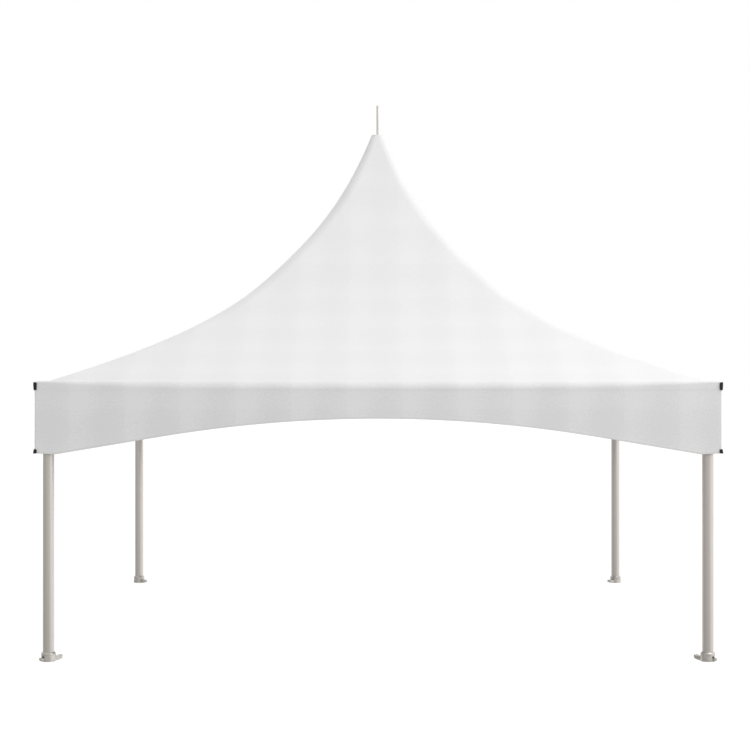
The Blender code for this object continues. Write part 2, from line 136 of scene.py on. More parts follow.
# Webbing tabs: lower and upper edge, and the share by which the top swells over the bottom; then the length
# of an arm past the corner's bend, the points along it, the tab's distance from the cloth, half its thickness
# at the ends and what the middle adds, its narrowing, and the powers that flatten its round section
TABS = (("top", 2.4155, 2.4895, 0.17), ("bottom", 1.854, 1.895, -0.33))
TAB_ARM = 0.0115
TAB_STEPS = (0.0035, 0.008)
TAB_OFF = 0.0008
TAB_HALF = 0.0050
TAB_MIDDLE = 0.0008
TAB_TAPER = 0.15
TAB_POWERS = (0.55, 0.7)

# Feet: the collar's radii at the ground, the waist, the lip and the mouth, the seat of the leg and the top
FOOT_RADIUS = 0.067
WAIST_RADIUS = 0.065
LIP_RADIUS = 0.066
MOUTH_RADIUS = 0.0545
FOOT_SEAT_Z = 0.018
FOOT_TOP_Z = 0.0825
EAR_LOW_Z = 0.0004
EAR_ROOT = 0.055
SCREW_BEARING = math.radians(10)
SCREW_Z = 0.0405

# Bolts of the frame, and how far their rows lie from the corner block
BOLT_ACROSS = 0.018
BOLT_SHANK = 0.006
BOLT_HEAD = 0.0075
WASHER = 0.0022
BOLT_ROWS = (0.045, 0.110)

# Rope fittings: the sleeve's radius and its drawn-in end, and a fork's pin below the end of its lug
SLEEVE_RADIUS = 0.0085
SLEEVE_NECK = 0.0058
FORK_PIN = 0.022
THREAD_RADIUS = 0.0060

# Camera: its place, its lens and film width in millimetres, and its tilt in pixels of a 750 pixel picture
CAMERA_PLACE = (-0.0284, -18.249, 2.5251)
CAMERA_LENS = 82.28
CAMERA_FILM = 36.0
CAMERA_FOCAL_PIXELS = 1714.2
CAMERA_TILT_PIXELS = 3

# Brightness of the studio's walls, ahead of and behind the tent along each axis, its softbox, lamp and floor
ROOM = {"X": (1.16, 0.54), "Y": (1.30, 0.71), "Z": (0.896, 0.217)}
SOFTBOX_AIM = (0.87, -0.48, -0.10)
SOFTBOX_EDGE = 14.0
SOFTBOX = 0.111
KEY = 355.0
KEY_SIZE = 7.0
KEY_PLACE = (7.66, -6.43, 10.0)
KEY_TARGET = (0, 0, 2.4)
FLOOR_GLOW = 0.88
FLOOR_RINGS = (0.0, 6.0, 40.0, 200.0)
FLOOR_Z = -0.0006

CORNERS = ("rear_right", "rear_left", "front_left", "front_right")
SIDES = ("front", "right", "rear", "left")
HALF_ROOT = math.sqrt(0.5)

# The part's slot for each finish, and the angle in degrees past which its faces meet in a sharp edge
CREASES = {"rope": 80, "webbing": 60}
CREASE = 35
materials = {}


def linear(hex_colour):
    """sRGB hex to linear: c / 12.92 up to 0.04045, and ((c + 0.055) / 1.055) ** 2.4 above it."""
    shares = np.array([int(hex_colour[at : at + 2], 16) for at in (1, 3, 5)]) / 255
    return tuple(np.where(shares <= 0.04045, shares / 12.92, ((shares + 0.055) / 1.055) ** 2.4))


def length(name, description, default):
    return FloatProperty(
        name=name, description=description, default=default, min=0.0, unit="LENGTH", precision=4
    )


def colour(name, description, hex_colour):
    return FloatVectorProperty(
        name=name, description=description, default=linear(hex_colour), subtype="COLOR", size=3
    )


class MarqueeSizes(bpy.types.PropertyGroup):
    """Sizes of the details, which leave the CAD model's own sizes alone"""

    cloth: length("Cloth", "Thickness of the coated cloth", 0.0012)
    weld: length("Weld", "Width of the welded laps at the hips and seams", 0.030)
    strip: length("Strip", "Width of the faint tone strips across the cloth", 0.4925)
    ripple: length("Ripple", "Depth of the ripple that each strip leaves in the valance", 0.0012)
    hem: length("Hem", "Height of the tape sewn over the hem", 0.018)
    bead: length("Bead", "Radius of the bead inside the hem tape", 0.0040)
    rope: length("Rope", "Radius of the wire rope over its strands", 0.0050)
    lay: length("Lay", "Length in which a strand goes once round the rope", 0.072)
    thread: length("Thread", "Pitch of the turnbuckle threads", 0.0030)
    casting: length("Casting edge", "Radius of the edges of the corner castings", 0.0025)
    strands: IntProperty(
        name="Strands", description="Number of strands in the wire rope", default=6, min=3, max=12
    )


class MarqueeColours(bpy.types.PropertyGroup):
    """Colours of the materials"""

    vinyl: colour("Vinyl", "White vinyl coating", "#EDEDED")
    vinyl_shade: colour("Vinyl shade", "Darker side of the roof's strips", "#E9E9E9")
    valance_shade: colour("Valance shade", "Darker side of the valance's strips", "#E5E5E5")
    # The hem tape is a real part; its colour, greyer than the cloth, is painted shade along the hem.
    tape: colour("Hem tape", "Vinyl tape over the hem", "#E3E3E2")
    alloy: colour("Aluminium", "Satin anodised aluminium", "#CFC9C3")
    # The spire's rod is drawn paler and rougher than the legs' aluminium.
    rod: colour("Spire", "Bright anodised aluminium rod", "#DAD5CF")
    casting: colour("Casting", "Tumbled cast aluminium", "#C9C4BE")
    rope: colour("Wire rope", "Galvanised wire", "#C2C4C6")
    zinc: colour("Zinc", "Zinc plating", "#CACCCE")
    screw: colour("Screw", "Black oxide on steel", "#5C5A59")
    webbing: colour("Webbing", "Black polyester yarn", "#141415")


# Materials


def node(tree, kind, inputs=None, **settings):
    """Adds a shader node, sets its properties, and fills its inputs from numbers or other nodes' outputs."""
    made = tree.nodes.new(f"ShaderNode{kind}")
    for name, value in settings.items():
        setattr(made, name, value)
    for key, value in (inputs or {}).items():
        if isinstance(value, bpy.types.NodeSocket):
            tree.links.new(value, made.inputs[key])
        else:
            made.inputs[key].default_value = value
    return made


def start_material(name, **fixed):
    """A Principled material, with plain numbers on the sockets that the keywords name with underscores."""
    material = bpy.data.materials.new(name)
    material.use_nodes = True
    tree = material.node_tree
    for socket, value in fixed.items():
        tree.nodes["Principled BSDF"].inputs[socket.replace("_", " ")].default_value = value
    return material, tree


def finished(material, tone, dull, relief):
    """Gives the shader its colour, roughness and relief, from the inputs of a mix, a range and a bump."""
    tree = material.node_tree
    ends = {
        "Base Color": node(tree, "Mix", tone, data_type="RGBA").outputs[2],
        "Roughness": node(tree, "MapRange", dull).outputs[0],
        "Normal": node(tree, "Bump", relief).outputs[0],
    }
    for socket, source in ends.items():
        tree.links.new(source, tree.nodes["Principled BSDF"].inputs[socket])
    return material


def shaded(rgb, shade=1.0):
    """A colour times a shade, held at 1 and opaque."""
    return (*(min(1.0, shade * c) for c in rgb), 1.0)


def coated_vinyl(name, light, shade, hung_shade, strip):
    """Polyester scrim coated with white vinyl: a satin skin, even in tone, each strip darker to one side.

    The strips show more on cloth that hangs than on the stretched roof; the map's height is 0 at the seam
    between them. The real scrim has a thread every 1 to 2 mm, too fine to show, so its weave is drawn at 9 mm
    and the speckle of the coating over it at 17 mm.
    """
    material, tree = start_material(name, IOR=1.5, Specular_IOR_Level=0.35)
    place = node(tree, "UVMap", uv_map="metres").outputs["UV"]
    apart = node(tree, "SeparateXYZ", {0: place})
    tones = []
    for axis, pitches, edge in STRIPS:
        pitch = strip * pitches
        along = {0: apart.outputs[axis], 1: 1 / pitch, 2: STRIPS_BEFORE - edge / pitch}
        steps = node(tree, "Math", along, operation="MULTIPLY_ADD").outputs[0]
        share = node(tree, "Math", {0: steps}, operation="FRACT").outputs[0]
        turn = node(tree, "Math", {0: share, 1: math.tau, 2: 0.45}, operation="MULTIPLY_ADD")
        wave = node(tree, "Math", {0: turn.outputs[0]}, operation="SINE").outputs[0]
        slope = node(tree, "Math", {0: share, 1: -1.0, 2: wave}, operation="MULTIPLY_ADD")
        tones.append(slope.outputs[0])
    where = node(tree, "TexCoord").outputs["Object"]
    clouds = node(tree, "TexNoise", {"Vector": where, "Scale": 2.2, "Detail": 3.0}).outputs["Fac"]
    grain = node(tree, "TexNoise", {"Vector": where, "Scale": 60.0, "Detail": 2.0}).outputs["Fac"]
    mottled = tones[0]
    for pattern, weight in ((tones[1], 0.6), (clouds, 3.0), (grain, 8.0)):
        terms = {0: pattern, 1: weight, 2: mottled}
        mottled = node(tree, "Math", terms, operation="MULTIPLY_ADD").outputs[0]
    share = node(tree, "MapRange", {"Value": mottled, "From Min": 3.3, "From Max": 6.6})
    weld = node(tree, "Attribute", attribute_name="weld").outputs["Fac"]
    falling = {"To Min": 1.0, "To Max": 0.0}
    edge = {"Value": weld, "From Min": 0.0140, "From Max": 0.0165, **falling}
    lap = node(tree, "MapRange", edge, interpolation_type="SMOOTHSTEP")
    seam = {"Value": apart.outputs["Y"], "From Min": 0.05, "From Max": 0.12, **falling}
    hung = node(tree, "MapRange", seam)
    shades = {0: hung.outputs[0], 6: shaded(shade), 7: shaded(hung_shade)}
    darker = node(tree, "Mix", shades, data_type="RGBA").outputs[2]
    thread = {
        "Vector": place,
        "Scale": 1.0,
        "Mortar Size": 0.0008,
        "Mortar Smooth": 1.0,
        "Bias": 0.0,
        "Brick Width": 0.009,
        "Row Height": 0.009,
        "Color1": (1, 1, 1, 1),
        "Color2": (0.8, 0.8, 0.8, 1),
        "Mortar": (0, 0, 0, 1),
    }
    raised = node(tree, "TexBrick", thread, offset=0.5, squash=1.0).outputs["Fac"]
    for pattern, weight in ((grain, 0.8), (lap.outputs[0], 1.5)):
        terms = {0: pattern, 1: weight, 2: raised}
        raised = node(tree, "Math", terms, operation="MULTIPLY_ADD").outputs[0]
    return finished(
        material,
        {0: share.outputs[0], 6: darker, 7: shaded(light)},
        {"Value": clouds, "To Min": 0.46, "To Max": 0.60},
        {"Height": raised, "Strength": 0.5, "Distance": 0.0002},
    )


def anodised_aluminium(name, rgb, clear, hazy):
    """Extruded and satin anodised: a wide soft highlight, and faint lines lengthwise, left by the die."""
    material, tree = start_material(name, Metallic=1.0)
    place = node(tree, "UVMap", uv_map="metres").outputs["UV"]
    drawn = node(tree, "Mapping", {"Vector": place, "Scale": (260.0, 1.2, 1.0)}).outputs[0]
    lines = node(tree, "TexNoise", {"Vector": drawn, "Scale": 1.0, "Detail": 3.0}).outputs["Fac"]
    where = node(tree, "TexCoord").outputs["Object"]
    smears = {"Vector": where, "Scale": 9.0, "Detail": 4.0, "Roughness": 0.6}
    handled = node(tree, "TexNoise", smears).outputs["Fac"]
    worn = node(tree, "Math", {0: lines, 1: 0.5, 2: handled}, operation="MULTIPLY_ADD").outputs[0]
    return finished(
        material,
        {0: lines, 6: shaded(rgb, 0.93), 7: shaded(rgb, 1.07)},
        {"Value": worn, "From Min": 0.4, "From Max": 1.1, "To Min": clear, "To Max": hazy},
        {"Height": lines, "Strength": 0.25, "Distance": 0.0002},
    )


def cast_aluminium(name, rgb):
    """Sand cast and tumbled: a grainy skin, darker pits and brighter rubbed crowns; grit drawn at 3 mm."""
    material, tree = start_material(name, Metallic=1.0)
    where = node(tree, "TexCoord").outputs["Object"]
    grains = {"Vector": where, "Scale": 330.0, "Detail": 3.0, "Roughness": 0.6}
    grit = node(tree, "TexNoise", grains).outputs["Fac"]
    patches = node(tree, "TexNoise", {"Vector": where, "Scale": 28.0, "Detail": 3.0}).outputs["Fac"]
    both = node(tree, "Math", {0: grit, 1: 0.5, 2: patches}, operation="MULTIPLY_ADD").outputs[0]
    share = node(tree, "MapRange", {"Value": both, "From Min": 0.5, "From Max": 1.0}).outputs[0]
    return finished(
        material,
        {0: share, 6: shaded(rgb, 0.80), 7: shaded(rgb, 1.12)},
        {"Value": share, "To Min": 0.46, "To Max": 0.30},
        {"Height": both, "Strength": 0.6, "Distance": 0.0006},
    )


def wire_rope(name, rgb):
    """Laid galvanised wire: strands with bright crowns, painted shade in the grooves between them, wires drawn
    at 1.5 mm.
    """
    material, tree = start_material(name, Metallic=1.0)
    place = node(tree, "UVMap", uv_map="metres").outputs["UV"]
    slant = {"Vector": place, "Rotation": (0.0, 0.0, math.radians(25))}
    laid = node(tree, "Mapping", slant).outputs[0]
    threads = {"Vector": laid, "Scale": 200.0, "Distortion": 0.4}
    wires = node(tree, "TexWave", threads, bands_direction="X").outputs["Fac"]
    # The groove mark darkens the colour between the strands to 0.28 of it: painted shade in the grooves.
    groove = node(tree, "Attribute", attribute_name="groove").outputs["Fac"]
    return finished(
        material,
        {0: groove, 6: shaded(rgb), 7: shaded(rgb, 0.28)},
        {"Value": wires, "To Min": 0.36, "To Max": 0.50},
        {"Height": wires, "Strength": 0.5, "Distance": 0.0003},
    )


def zinc_plating(name, rgb):
    """Zinc plated steel: a cool silver, a faint spangle drawn at 5 mm, and satin, blurred reflections."""
    material, tree = start_material(name, Metallic=1.0)
    where = node(tree, "TexCoord").outputs["Object"]
    spangle = node(tree, "TexVoronoi", {"Vector": where, "Scale": 200.0, "Randomness": 1.0})
    grey = node(tree, "RGBToBW", {0: spangle.outputs["Color"]}).outputs[0]
    haze = node(tree, "TexNoise", {"Vector": where, "Scale": 60.0, "Detail": 3.0}).outputs["Fac"]
    return finished(
        material,
        {0: grey, 6: shaded(rgb, 0.86), 7: shaded(rgb, 1.08)},
        {"Value": haze, "To Min": 0.28, "To Max": 0.46},
        {"Height": haze, "Strength": 0.2, "Distance": 0.0002},
    )


def black_oxide(name, rgb):
    """Steel blackened in a salt bath: dark, its oily skin mottled, with a satin gleam on the edges."""
    material, tree = start_material(name, Metallic=0.6, IOR=2.0)
    where = node(tree, "TexCoord").outputs["Object"]
    skin = node(tree, "TexNoise", {"Vector": where, "Scale": 150.0, "Detail": 3.0}).outputs["Fac"]
    return finished(
        material,
        {0: skin, 6: shaded(rgb, 0.7), 7: shaded(rgb, 1.4)},
        {"Value": skin, "To Min": 0.38, "To Max": 0.55},
        {"Height": skin, "Strength": 0.3, "Distance": 0.0002},
    )


def woven_webbing(name, rgb):
    """Black polyester webbing: ribs and yarns drawn at 3 to 4 mm, dull, with a soft sheen at its edges."""
    material, tree = start_material(name, Sheen_Weight=0.25, Sheen_Roughness=0.5, IOR=1.5)
    place = node(tree, "UVMap", uv_map="metres").outputs["UV"]
    across = {"Vector": place, "Scale": 80.0, "Distortion": 0.3}
    ribs = node(tree, "TexWave", across, bands_direction="Y").outputs["Fac"]
    along = {"Vector": place, "Scale": 120.0, "Distortion": 0.5}
    yarns = node(tree, "TexWave", along, bands_direction="X").outputs["Fac"]
    cloth = node(tree, "Math", {0: ribs, 1: yarns}, operation="MULTIPLY").outputs[0]
    return finished(
        material,
        {0: cloth, 6: shaded(rgb, 0.5), 7: shaded(rgb, 1.8)},
        {"Value": yarns, "To Min": 0.70, "To Max": 0.90},
        {"Height": cloth, "Strength": 0.8, "Distance": 0.0005},
    )


def make_materials(sizes, colours):
    shades = tuple(colours.vinyl_shade), tuple(colours.valance_shade)
    # The tape's greyer colour is painted shade along the hem.
    tape = tuple(colours.tape)
    tape_shade = [0.97 * c for c in tape]
    return {
        "vinyl": coated_vinyl("coated_vinyl_cloth", tuple(colours.vinyl), *shades, sizes.strip),
        "tape": coated_vinyl("vinyl_hem_tape", tape, tape_shade, tape_shade, sizes.strip),
        "alloy": anodised_aluminium("satin_anodised_aluminium", tuple(colours.alloy), 0.27, 0.42),
        "rod": anodised_aluminium("pale_anodised_aluminium", tuple(colours.rod), 0.50, 0.62),
        "casting": cast_aluminium("tumbled_cast_aluminium", tuple(colours.casting)),
        "rope": wire_rope("galvanised_wire_rope", tuple(colours.rope)),
        "zinc": zinc_plating("zinc_plated_steel", tuple(colours.zinc)),
        "screw": black_oxide("black_oxide_steel", tuple(colours.screw)),
        "webbing": woven_webbing("black_polyester_webbing", tuple(colours.webbing)),
    }


# Surfaces


def unit(vectors):
    size = np.linalg.norm(vectors, axis=-1, keepdims=True)
    return vectors / np.where(size == 0, 1, size)


def lengths(line):
    """Distance along a line from its first point to each of its points."""
    return np.concatenate([[0], np.linalg.norm(np.diff(line, axis=0), axis=1).cumsum()])


def stacked(*parts):
    """Coordinates of a grid, each spread over all of its rows and columns."""
    return np.stack(np.broadcast_arrays(*parts), axis=-1)


def looped(line):
    """A line closed on its first point."""
    return np.vstack([line, line[:1]])


def surface(points, uv=None, **marks):
    """A shape of one grid of points, with faces between neighbours.

    Without a map of its own, each point's place is its distance along its row and down its column.
    """
    points = np.asarray(points, dtype=float)
    rows, columns = points.shape[:2]
    if uv is None:
        uv = np.zeros((rows, columns, 2))
        uv[:, 1:, 0] = np.linalg.norm(np.diff(points, axis=1), axis=-1).cumsum(axis=1)
        uv[1:, :, 1] = np.linalg.norm(np.diff(points, axis=0), axis=-1).cumsum(axis=0)
    index = np.arange(rows * columns).reshape(rows, columns)
    faces = np.stack([index[:-1, :-1], index[:-1, 1:], index[1:, 1:], index[1:, :-1]], axis=-1)
    grid = {
        "points": points.reshape(-1, 3),
        "uv": uv.reshape(-1, 2),
        "faces": faces.reshape(-1, 4),
        "marks": {name: np.broadcast_to(value, (rows, columns)).ravel() for name, value in marks.items()},
    }
    return [grid]


def moved(shape, change, *values):
    """The same shape with its points put through a function, which may take more values."""
    return [{**grid, "points": change(grid["points"], *values)} for grid in shape]


def quarter_turns(points, quarter):
    """Points turned about the mast by a number of quarter turns."""
    angle = math.pi / 2 * quarter
    cos, sin = math.cos(angle), math.sin(angle)
    return points @ np.array([[cos, sin, 0], [-sin, cos, 0], [0, 0, 1]])


def all_round(shape):
    """The same shape on all four sides of the tent."""
    return [grid for quarter in range(4) for grid in moved(shape, quarter_turns, quarter)]


def on_axes(points, origin, x_axis, y_axis, z_axis):
    """Points measured along three axes from an origin."""
    return np.asarray(origin) + points @ np.array([x_axis, y_axis, z_axis], dtype=float)


def on_diagonal(points):
    """Points as (distance out from the mast, sideways, height) on the rear right diagonal."""
    return on_axes(points, (0, 0, 0), (HALF_ROOT, HALF_ROOT, 0), (-HALF_ROOT, HALF_ROOT, 0), (0, 0, 1))


def mirrored(points):
    """Points with x and y changed over, which mirrors them in the diagonal."""
    return points[:, [1, 0, 2]]


def keep_rims_sharp(mesh):
    """Marks the edges that only one face has, so that a cloth's cut edge doesn't shade its face."""
    used = np.empty(len(mesh.loops), dtype=np.int32)
    mesh.loops.foreach_get("edge_index", used)
    sharp = mesh.attributes.get("sharp_edge") or mesh.attributes.new("sharp_edge", "BOOLEAN", "EDGE")
    flags = np.empty(len(mesh.edges), dtype=bool)
    sharp.data.foreach_get("value", flags)
    sharp.data.foreach_set("value", flags | (np.bincount(used, minlength=len(mesh.edges)) == 1))


def piece(name, shape, finish, nodes=(), closed=True):
    """One finished piece at the origin, with its doubles merged and its normals outward."""
    starts = np.cumsum([0] + [len(grid["points"]) for grid in shape])
    faces = np.concatenate([grid["faces"] + start for grid, start in zip(shape, starts)])
    mesh = bpy.data.meshes.new(name)
    mesh.from_pydata(np.concatenate([grid["points"] for grid in shape]).tolist(), [], faces.tolist())
    mesh.uv_layers.new(name="metres")
    uv = np.concatenate([grid["uv"] for grid in shape])[faces.ravel()]
    mesh.uv_layers["metres"].data.foreach_set("uv", uv.ravel())
    for mark in shape[0]["marks"]:
        layer = mesh.attributes.new(mark, "FLOAT", "POINT")
        layer.data.foreach_set("value", np.concatenate([grid["marks"][mark] for grid in shape]))
    joined = bmesh.new()
    joined.from_mesh(mesh)
    bmesh.ops.remove_doubles(joined, verts=joined.verts, dist=0.00001)
    if closed:
        bmesh.ops.recalc_face_normals(joined, faces=joined.faces)
    joined.to_mesh(mesh)
    joined.free()
    mesh.shade_smooth()
    mesh.set_sharp_from_angle(angle=math.radians(CREASES.get(finish, CREASE)))
    if not closed:
        keep_rims_sharp(mesh)
    mesh.materials.append(materials[finish])
    thing = bpy.data.objects.new(name, mesh)
    bpy.context.scene.collection.objects.link(thing)
    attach(thing, "root")
    if nodes:
        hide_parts(*nodes)
    return thing


def pieces(places, *kinds):
    """Pieces for each corner or side, turned about the mast; returns their names.

    Each kind is (name, shape, finish) or (name, shape, finish, name of the CAD nodes that it replaces).
    """
    names = []
    for quarter, place in enumerate(places):
        for name, shape, finish, *replaced in kinds:
            nodes = [f"{cad}_{place}" for cad in replaced]
            made = piece(f"{name}_{place}", moved(shape, quarter_turns, quarter), finish, nodes)
            names.append(made.name)
    return names


def rounded(corners, reach, closed=False, steps=4):
    """Rounds each corner of a line: a parabola from `reach` before the corner to `reach` after it."""
    corners = np.asarray(corners, dtype=float)
    reach = np.broadcast_to(np.asarray(reach, dtype=float), len(corners)).copy()
    before, after = np.roll(corners, 1, axis=0) - corners, np.roll(corners, -1, axis=0) - corners
    room = np.minimum(np.linalg.norm(before, axis=1), np.linalg.norm(after, axis=1)) / 2
    reach = np.minimum(reach, room)
    if not closed:
        reach[[0, -1]] = 0
    start, end = corners + reach[:, None] * unit(before), corners + reach[:, None] * unit(after)
    t = np.linspace(0, 1, steps + 1)[:, None, None]
    curve = (1 - t) ** 2 * start + 2 * t * (1 - t) * corners + t**2 * end
    return curve.transpose(1, 0, 2).reshape(-1, corners.shape[1])


def around(radius, angle, height):
    """Points at a radius and an angle round the vertical, and a height."""
    return stacked(radius * np.cos(angle), radius * np.sin(angle), height)


def turned(profile, sides, uv_radius=None, **marks):
    """A profile of (radius, height) points carried round the vertical."""
    profile = np.asarray(profile, dtype=float)
    angle = np.linspace(0, math.tau, sides + 1)
    points = around(profile[:, :1], angle, profile[:, 1:])
    if uv_radius is None:
        return surface(points, **marks)
    return surface(points, stacked(uv_radius * angle, lengths(profile)[:, None]), **marks)


def disc(radius, low, high, edge, sides=32):
    """A round bar or washer about the vertical, with rounded edges."""
    return turned(rounded([(0, low), (radius, low), (radius, high), (0, high)], edge), sides)


def tube(radius, low, high, sides):
    """A tube about the vertical, its cut ends a little rounded and its map wrapped round it."""
    inner = radius - TUBE_WALL
    wall = [(inner, low), (radius, low), (radius, high), (inner, high)]
    return turned(looped(rounded(wall, TUBE_EDGE, closed=True, steps=2)), sides, radius)


def capped(rings):
    """Rings of points, each closed on its first point, with both end rings drawn in to their middles."""
    rings = np.concatenate([rings, rings[:, :1]], axis=1)
    first = np.broadcast_to(rings[:1, :-1].mean(axis=1, keepdims=True), rings[:1].shape)
    last = np.broadcast_to(rings[-1:, :-1].mean(axis=1, keepdims=True), rings[:1].shape)
    return surface(np.concatenate([first, rings, last]))


def round_edge(edge, steps=3):
    """How far in and how far down a quarter round goes, from the wall to the face."""
    angle = np.linspace(0, math.pi / 2, steps + 1)
    return edge * (1 - np.cos(angle)), edge * (1 - np.sin(angle))


def slab(outline, low, high, edge):
    """A closed outline drawn upward, its edges rounded by moving the outline in along its normals."""
    outline = np.asarray(outline, dtype=float)
    along = unit(np.roll(outline, -1, axis=0) - np.roll(outline, 1, axis=0))
    inward = np.stack([-along[:, 1], along[:, 0]], axis=1)
    inset, drop = round_edge(edge)
    moves = np.concatenate([inset[::-1], inset])
    heights = np.concatenate([low + drop[::-1], high - drop])
    plan = outline + moves[:, None, None] * inward
    return capped(stacked(plan[:, :, 0], plan[:, :, 1], heights[:, None]))


def box_outline(half_x, half_y, corner):
    """A rectangle about the origin, anticlockwise, with rounded corners."""
    corners = [(-half_x, -half_y), (half_x, -half_y), (half_x, half_y), (-half_x, half_y)]
    return rounded(corners, corner, closed=True)


def eye(hole, radius, back, low, high, edge, sides=40):
    """A flat lug round a hole: a half circle in front, and straight sides that run `back` behind the hole.

    Rings run round the slab's cross-section. Each lies at `fixed + share * reach` from the hole's centre. The
    reach of a direction is the radius in front, and radius / |sin| or back / |cos|, the smaller, behind.
    """
    angle = np.linspace(0, math.tau, sides * 2 + 1)
    cos, sin = np.cos(angle), np.sin(angle)
    behind = np.minimum(radius / np.maximum(abs(sin), 1e-6), back / np.maximum(abs(cos), 1e-6))
    reach = np.where(cos >= 0, radius, behind)
    inset, drop = round_edge(edge)
    rim = hole + edge * 0.6
    rows = [(hole, 0, low + edge), (rim, 0, low)]
    rows += [(-i, 1, low + d) for i, d in zip(inset[::-1], drop[::-1])]
    rows += [(-i, 1, high - d) for i, d in zip(inset, drop)]
    rows += [(rim, 0, high), (hole, 0, high - edge), (hole, 0, low + edge)]
    fixed, share, height = np.array(rows).T[:, :, None]
    return surface(around(fixed + share * reach, angle, height))


def hex_nut(across, height):
    """A nut or bolt head, from its seat up, with a chamfered top."""
    corner = across / math.sqrt(3)
    return turned([(0, 0), (corner, 0), (corner, height * 0.82), (corner * 0.87, height), (0, height)], 6)


def bolt():
    """A washer, a hex head and a short end of thread, standing up from a face."""
    washer = disc(BOLT_ACROSS * 0.68, 0, WASHER, 0.0006)
    head = moved(hex_nut(BOLT_ACROSS, BOLT_HEAD), np.add, (0, 0, WASHER))
    return washer + head + disc(BOLT_SHANK, BOLT_HEAD, BOLT_HEAD + 0.005, 0.001, sides=24)


# Cloth


def hip_radius(half):
    """Plan radius of the roof's corner: half * r / (half + r), with a gain that dies out below the top.

    A share of it that grows with the sixth power of the half-width is taken off, so it is tight at the eave.
    """
    free = half * HIP_ROUND / (half + HIP_ROUND)
    gain = 1 + HIP_TOP_GAIN * np.exp((ROOF_TOP[0] - half) / HIP_TOP_REACH)
    return free * gain * (1 - HIP_FALL * (half / EAVE_HALF) ** HIP_FALL_POWER)


def side_plan(half, flats, arcs):
    """The front side from hip to hip in plan, one row for each half-width: x, y and the outward bearing."""
    half = np.atleast_1d(half)[:, None]
    radius = hip_radius(half)
    centre = half - radius
    left = np.radians(np.linspace(225, 270, arcs + 1))[:-1]
    right = np.radians(np.linspace(270, 315, arcs + 1))[1:]
    flat = np.linspace(-1, 1, flats + 1)
    angle = np.concatenate([left, np.full(flats + 1, math.radians(270)), right])
    centre_x = centre * np.concatenate([np.full(arcs, -1.0), flat, np.full(arcs, 1.0)])
    return centre_x + radius * np.cos(angle), -centre + radius * np.sin(angle), angle


def bezier(controls, steps):
    """Points of a Bezier curve: the sum of (n over k) * s ** k * (1 - s) ** (n - k) * control k."""
    degree = len(controls) - 1
    s = np.linspace(0, 1, steps)[:, None]
    weights = [math.comb(degree, k) * s**k * (1 - s) ** (degree - k) for k in range(degree + 1)]
    return sum(weight * np.array(control) for weight, control in zip(weights, controls))


def roof_profile(eave_round, steps=104):
    """Half-width and height down the middle of a side.

    A Bezier curve of degree 4, a short bend on to a flat, an arc over the eave beam and a fall to the seam.
    """
    top = np.array(ROOF_TOP)
    first = top + ROOF_TOP_PULL * np.array([math.cos(ROOF_TOP_ANGLE), -math.sin(ROOF_TOP_ANGLE)])
    fall = np.array([math.cos(ROOF_LOW_ANGLE), -math.sin(ROOF_LOW_ANGLE)])
    flat = np.array([ROOF_LOW_HALF + EAVE_BEND, EAVE_TOP_Z])
    low = flat - EAVE_BEND / fall[0] * fall
    curve = bezier([top, first, ROOF_MIDDLE, low - ROOF_LOW_PULL * fall, low], steps)
    bend = bezier([low, flat, flat + (EAVE_BEND, 0)], 6)[1:]
    angle = np.linspace(math.pi / 2, 0, 15)[:, None]
    centre = (EAVE_HALF - eave_round, EAVE_TOP_Z - eave_round)
    arc = centre + eave_round * np.hstack([np.cos(angle), np.sin(angle)])
    return np.vstack([curve, bend, arc, [(EAVE_HALF, SEAM_Z)]])


def hem_height(x):
    """Height of the hem: a parabola, its tangent from the shoulder on, and a straight lift at the corner."""
    x = abs(x)
    bend = HEM_TOP_Z - HEM_BEND * np.minimum(x, HEM_SHOULDER) ** 2
    low = bend - 2 * HEM_BEND * HEM_SHOULDER * np.maximum(0.0, np.minimum(x, HEM_LOW_HALF) - HEM_SHOULDER)
    return low + HEM_CORNER_LIFT * np.maximum(0.0, x - HEM_LOW_HALF) / (EAVE_HALF - HEM_LOW_HALF)


def cloth_piece(name, shape, thickness):
    """A sheet on all four sides, given its thickness inward from its outer face."""
    cloth = piece(name, all_round(shape), "vinyl", [f"{name}_{side}" for side in SIDES], closed=False)
    wall = cloth.modifiers.new("cloth", "SOLIDIFY")
    wall.thickness = thickness
    wall.offset = -1
    return cloth


class MARQUEE_OT_canopy(bpy.types.Operator):
    """Makes the roof as one continuous sheet, with welded hips and a welded collar at the top"""

    bl_idname = "marquee.canopy"
    bl_label = "Canopy"

    def execute(self, context):
        sizes = context.scene.marquee_sizes
        grids = []
        for eave_round in (CLOTH_ROUND_CORNER, CLOTH_ROUND_MIDDLE):
            profile = roof_profile(eave_round)
            x, y, _ = side_plan(profile[:, 0], flats=56, arcs=9)
            grids.append(stacked(x, y, profile[:, 1:]))
        tight, wide = grids
        points = wide + (x[:, :, None] / EAVE_HALF) ** CLOTH_ROUND_POWER * (tight - wide)
        above = np.clip((points[:, :, 2] - SEAM_Z) / (EAVE_TOP_Z - SEAM_Z), 0, 1)
        points[:, :, 2] -= CORNER_DROP * above * np.abs(x / EAVE_HALF) ** CORNER_DROP_POWER
        slope = lengths(profile)[:, None]
        to_hip = np.abs(np.abs(x) + y) * HALF_ROOT
        to_collar = np.abs(slope - COLLAR_LAP)
        to_edge = np.abs(slope[-1] - slope - sizes.weld / 2)
        weld = np.minimum(np.minimum(to_hip, to_collar), to_edge)
        cloth = surface(points, stacked(x, slope[-1] - slope), weld=weld)
        canopy = cloth_piece("canopy", cloth, sizes.cloth)
        return {"FINISHED"}


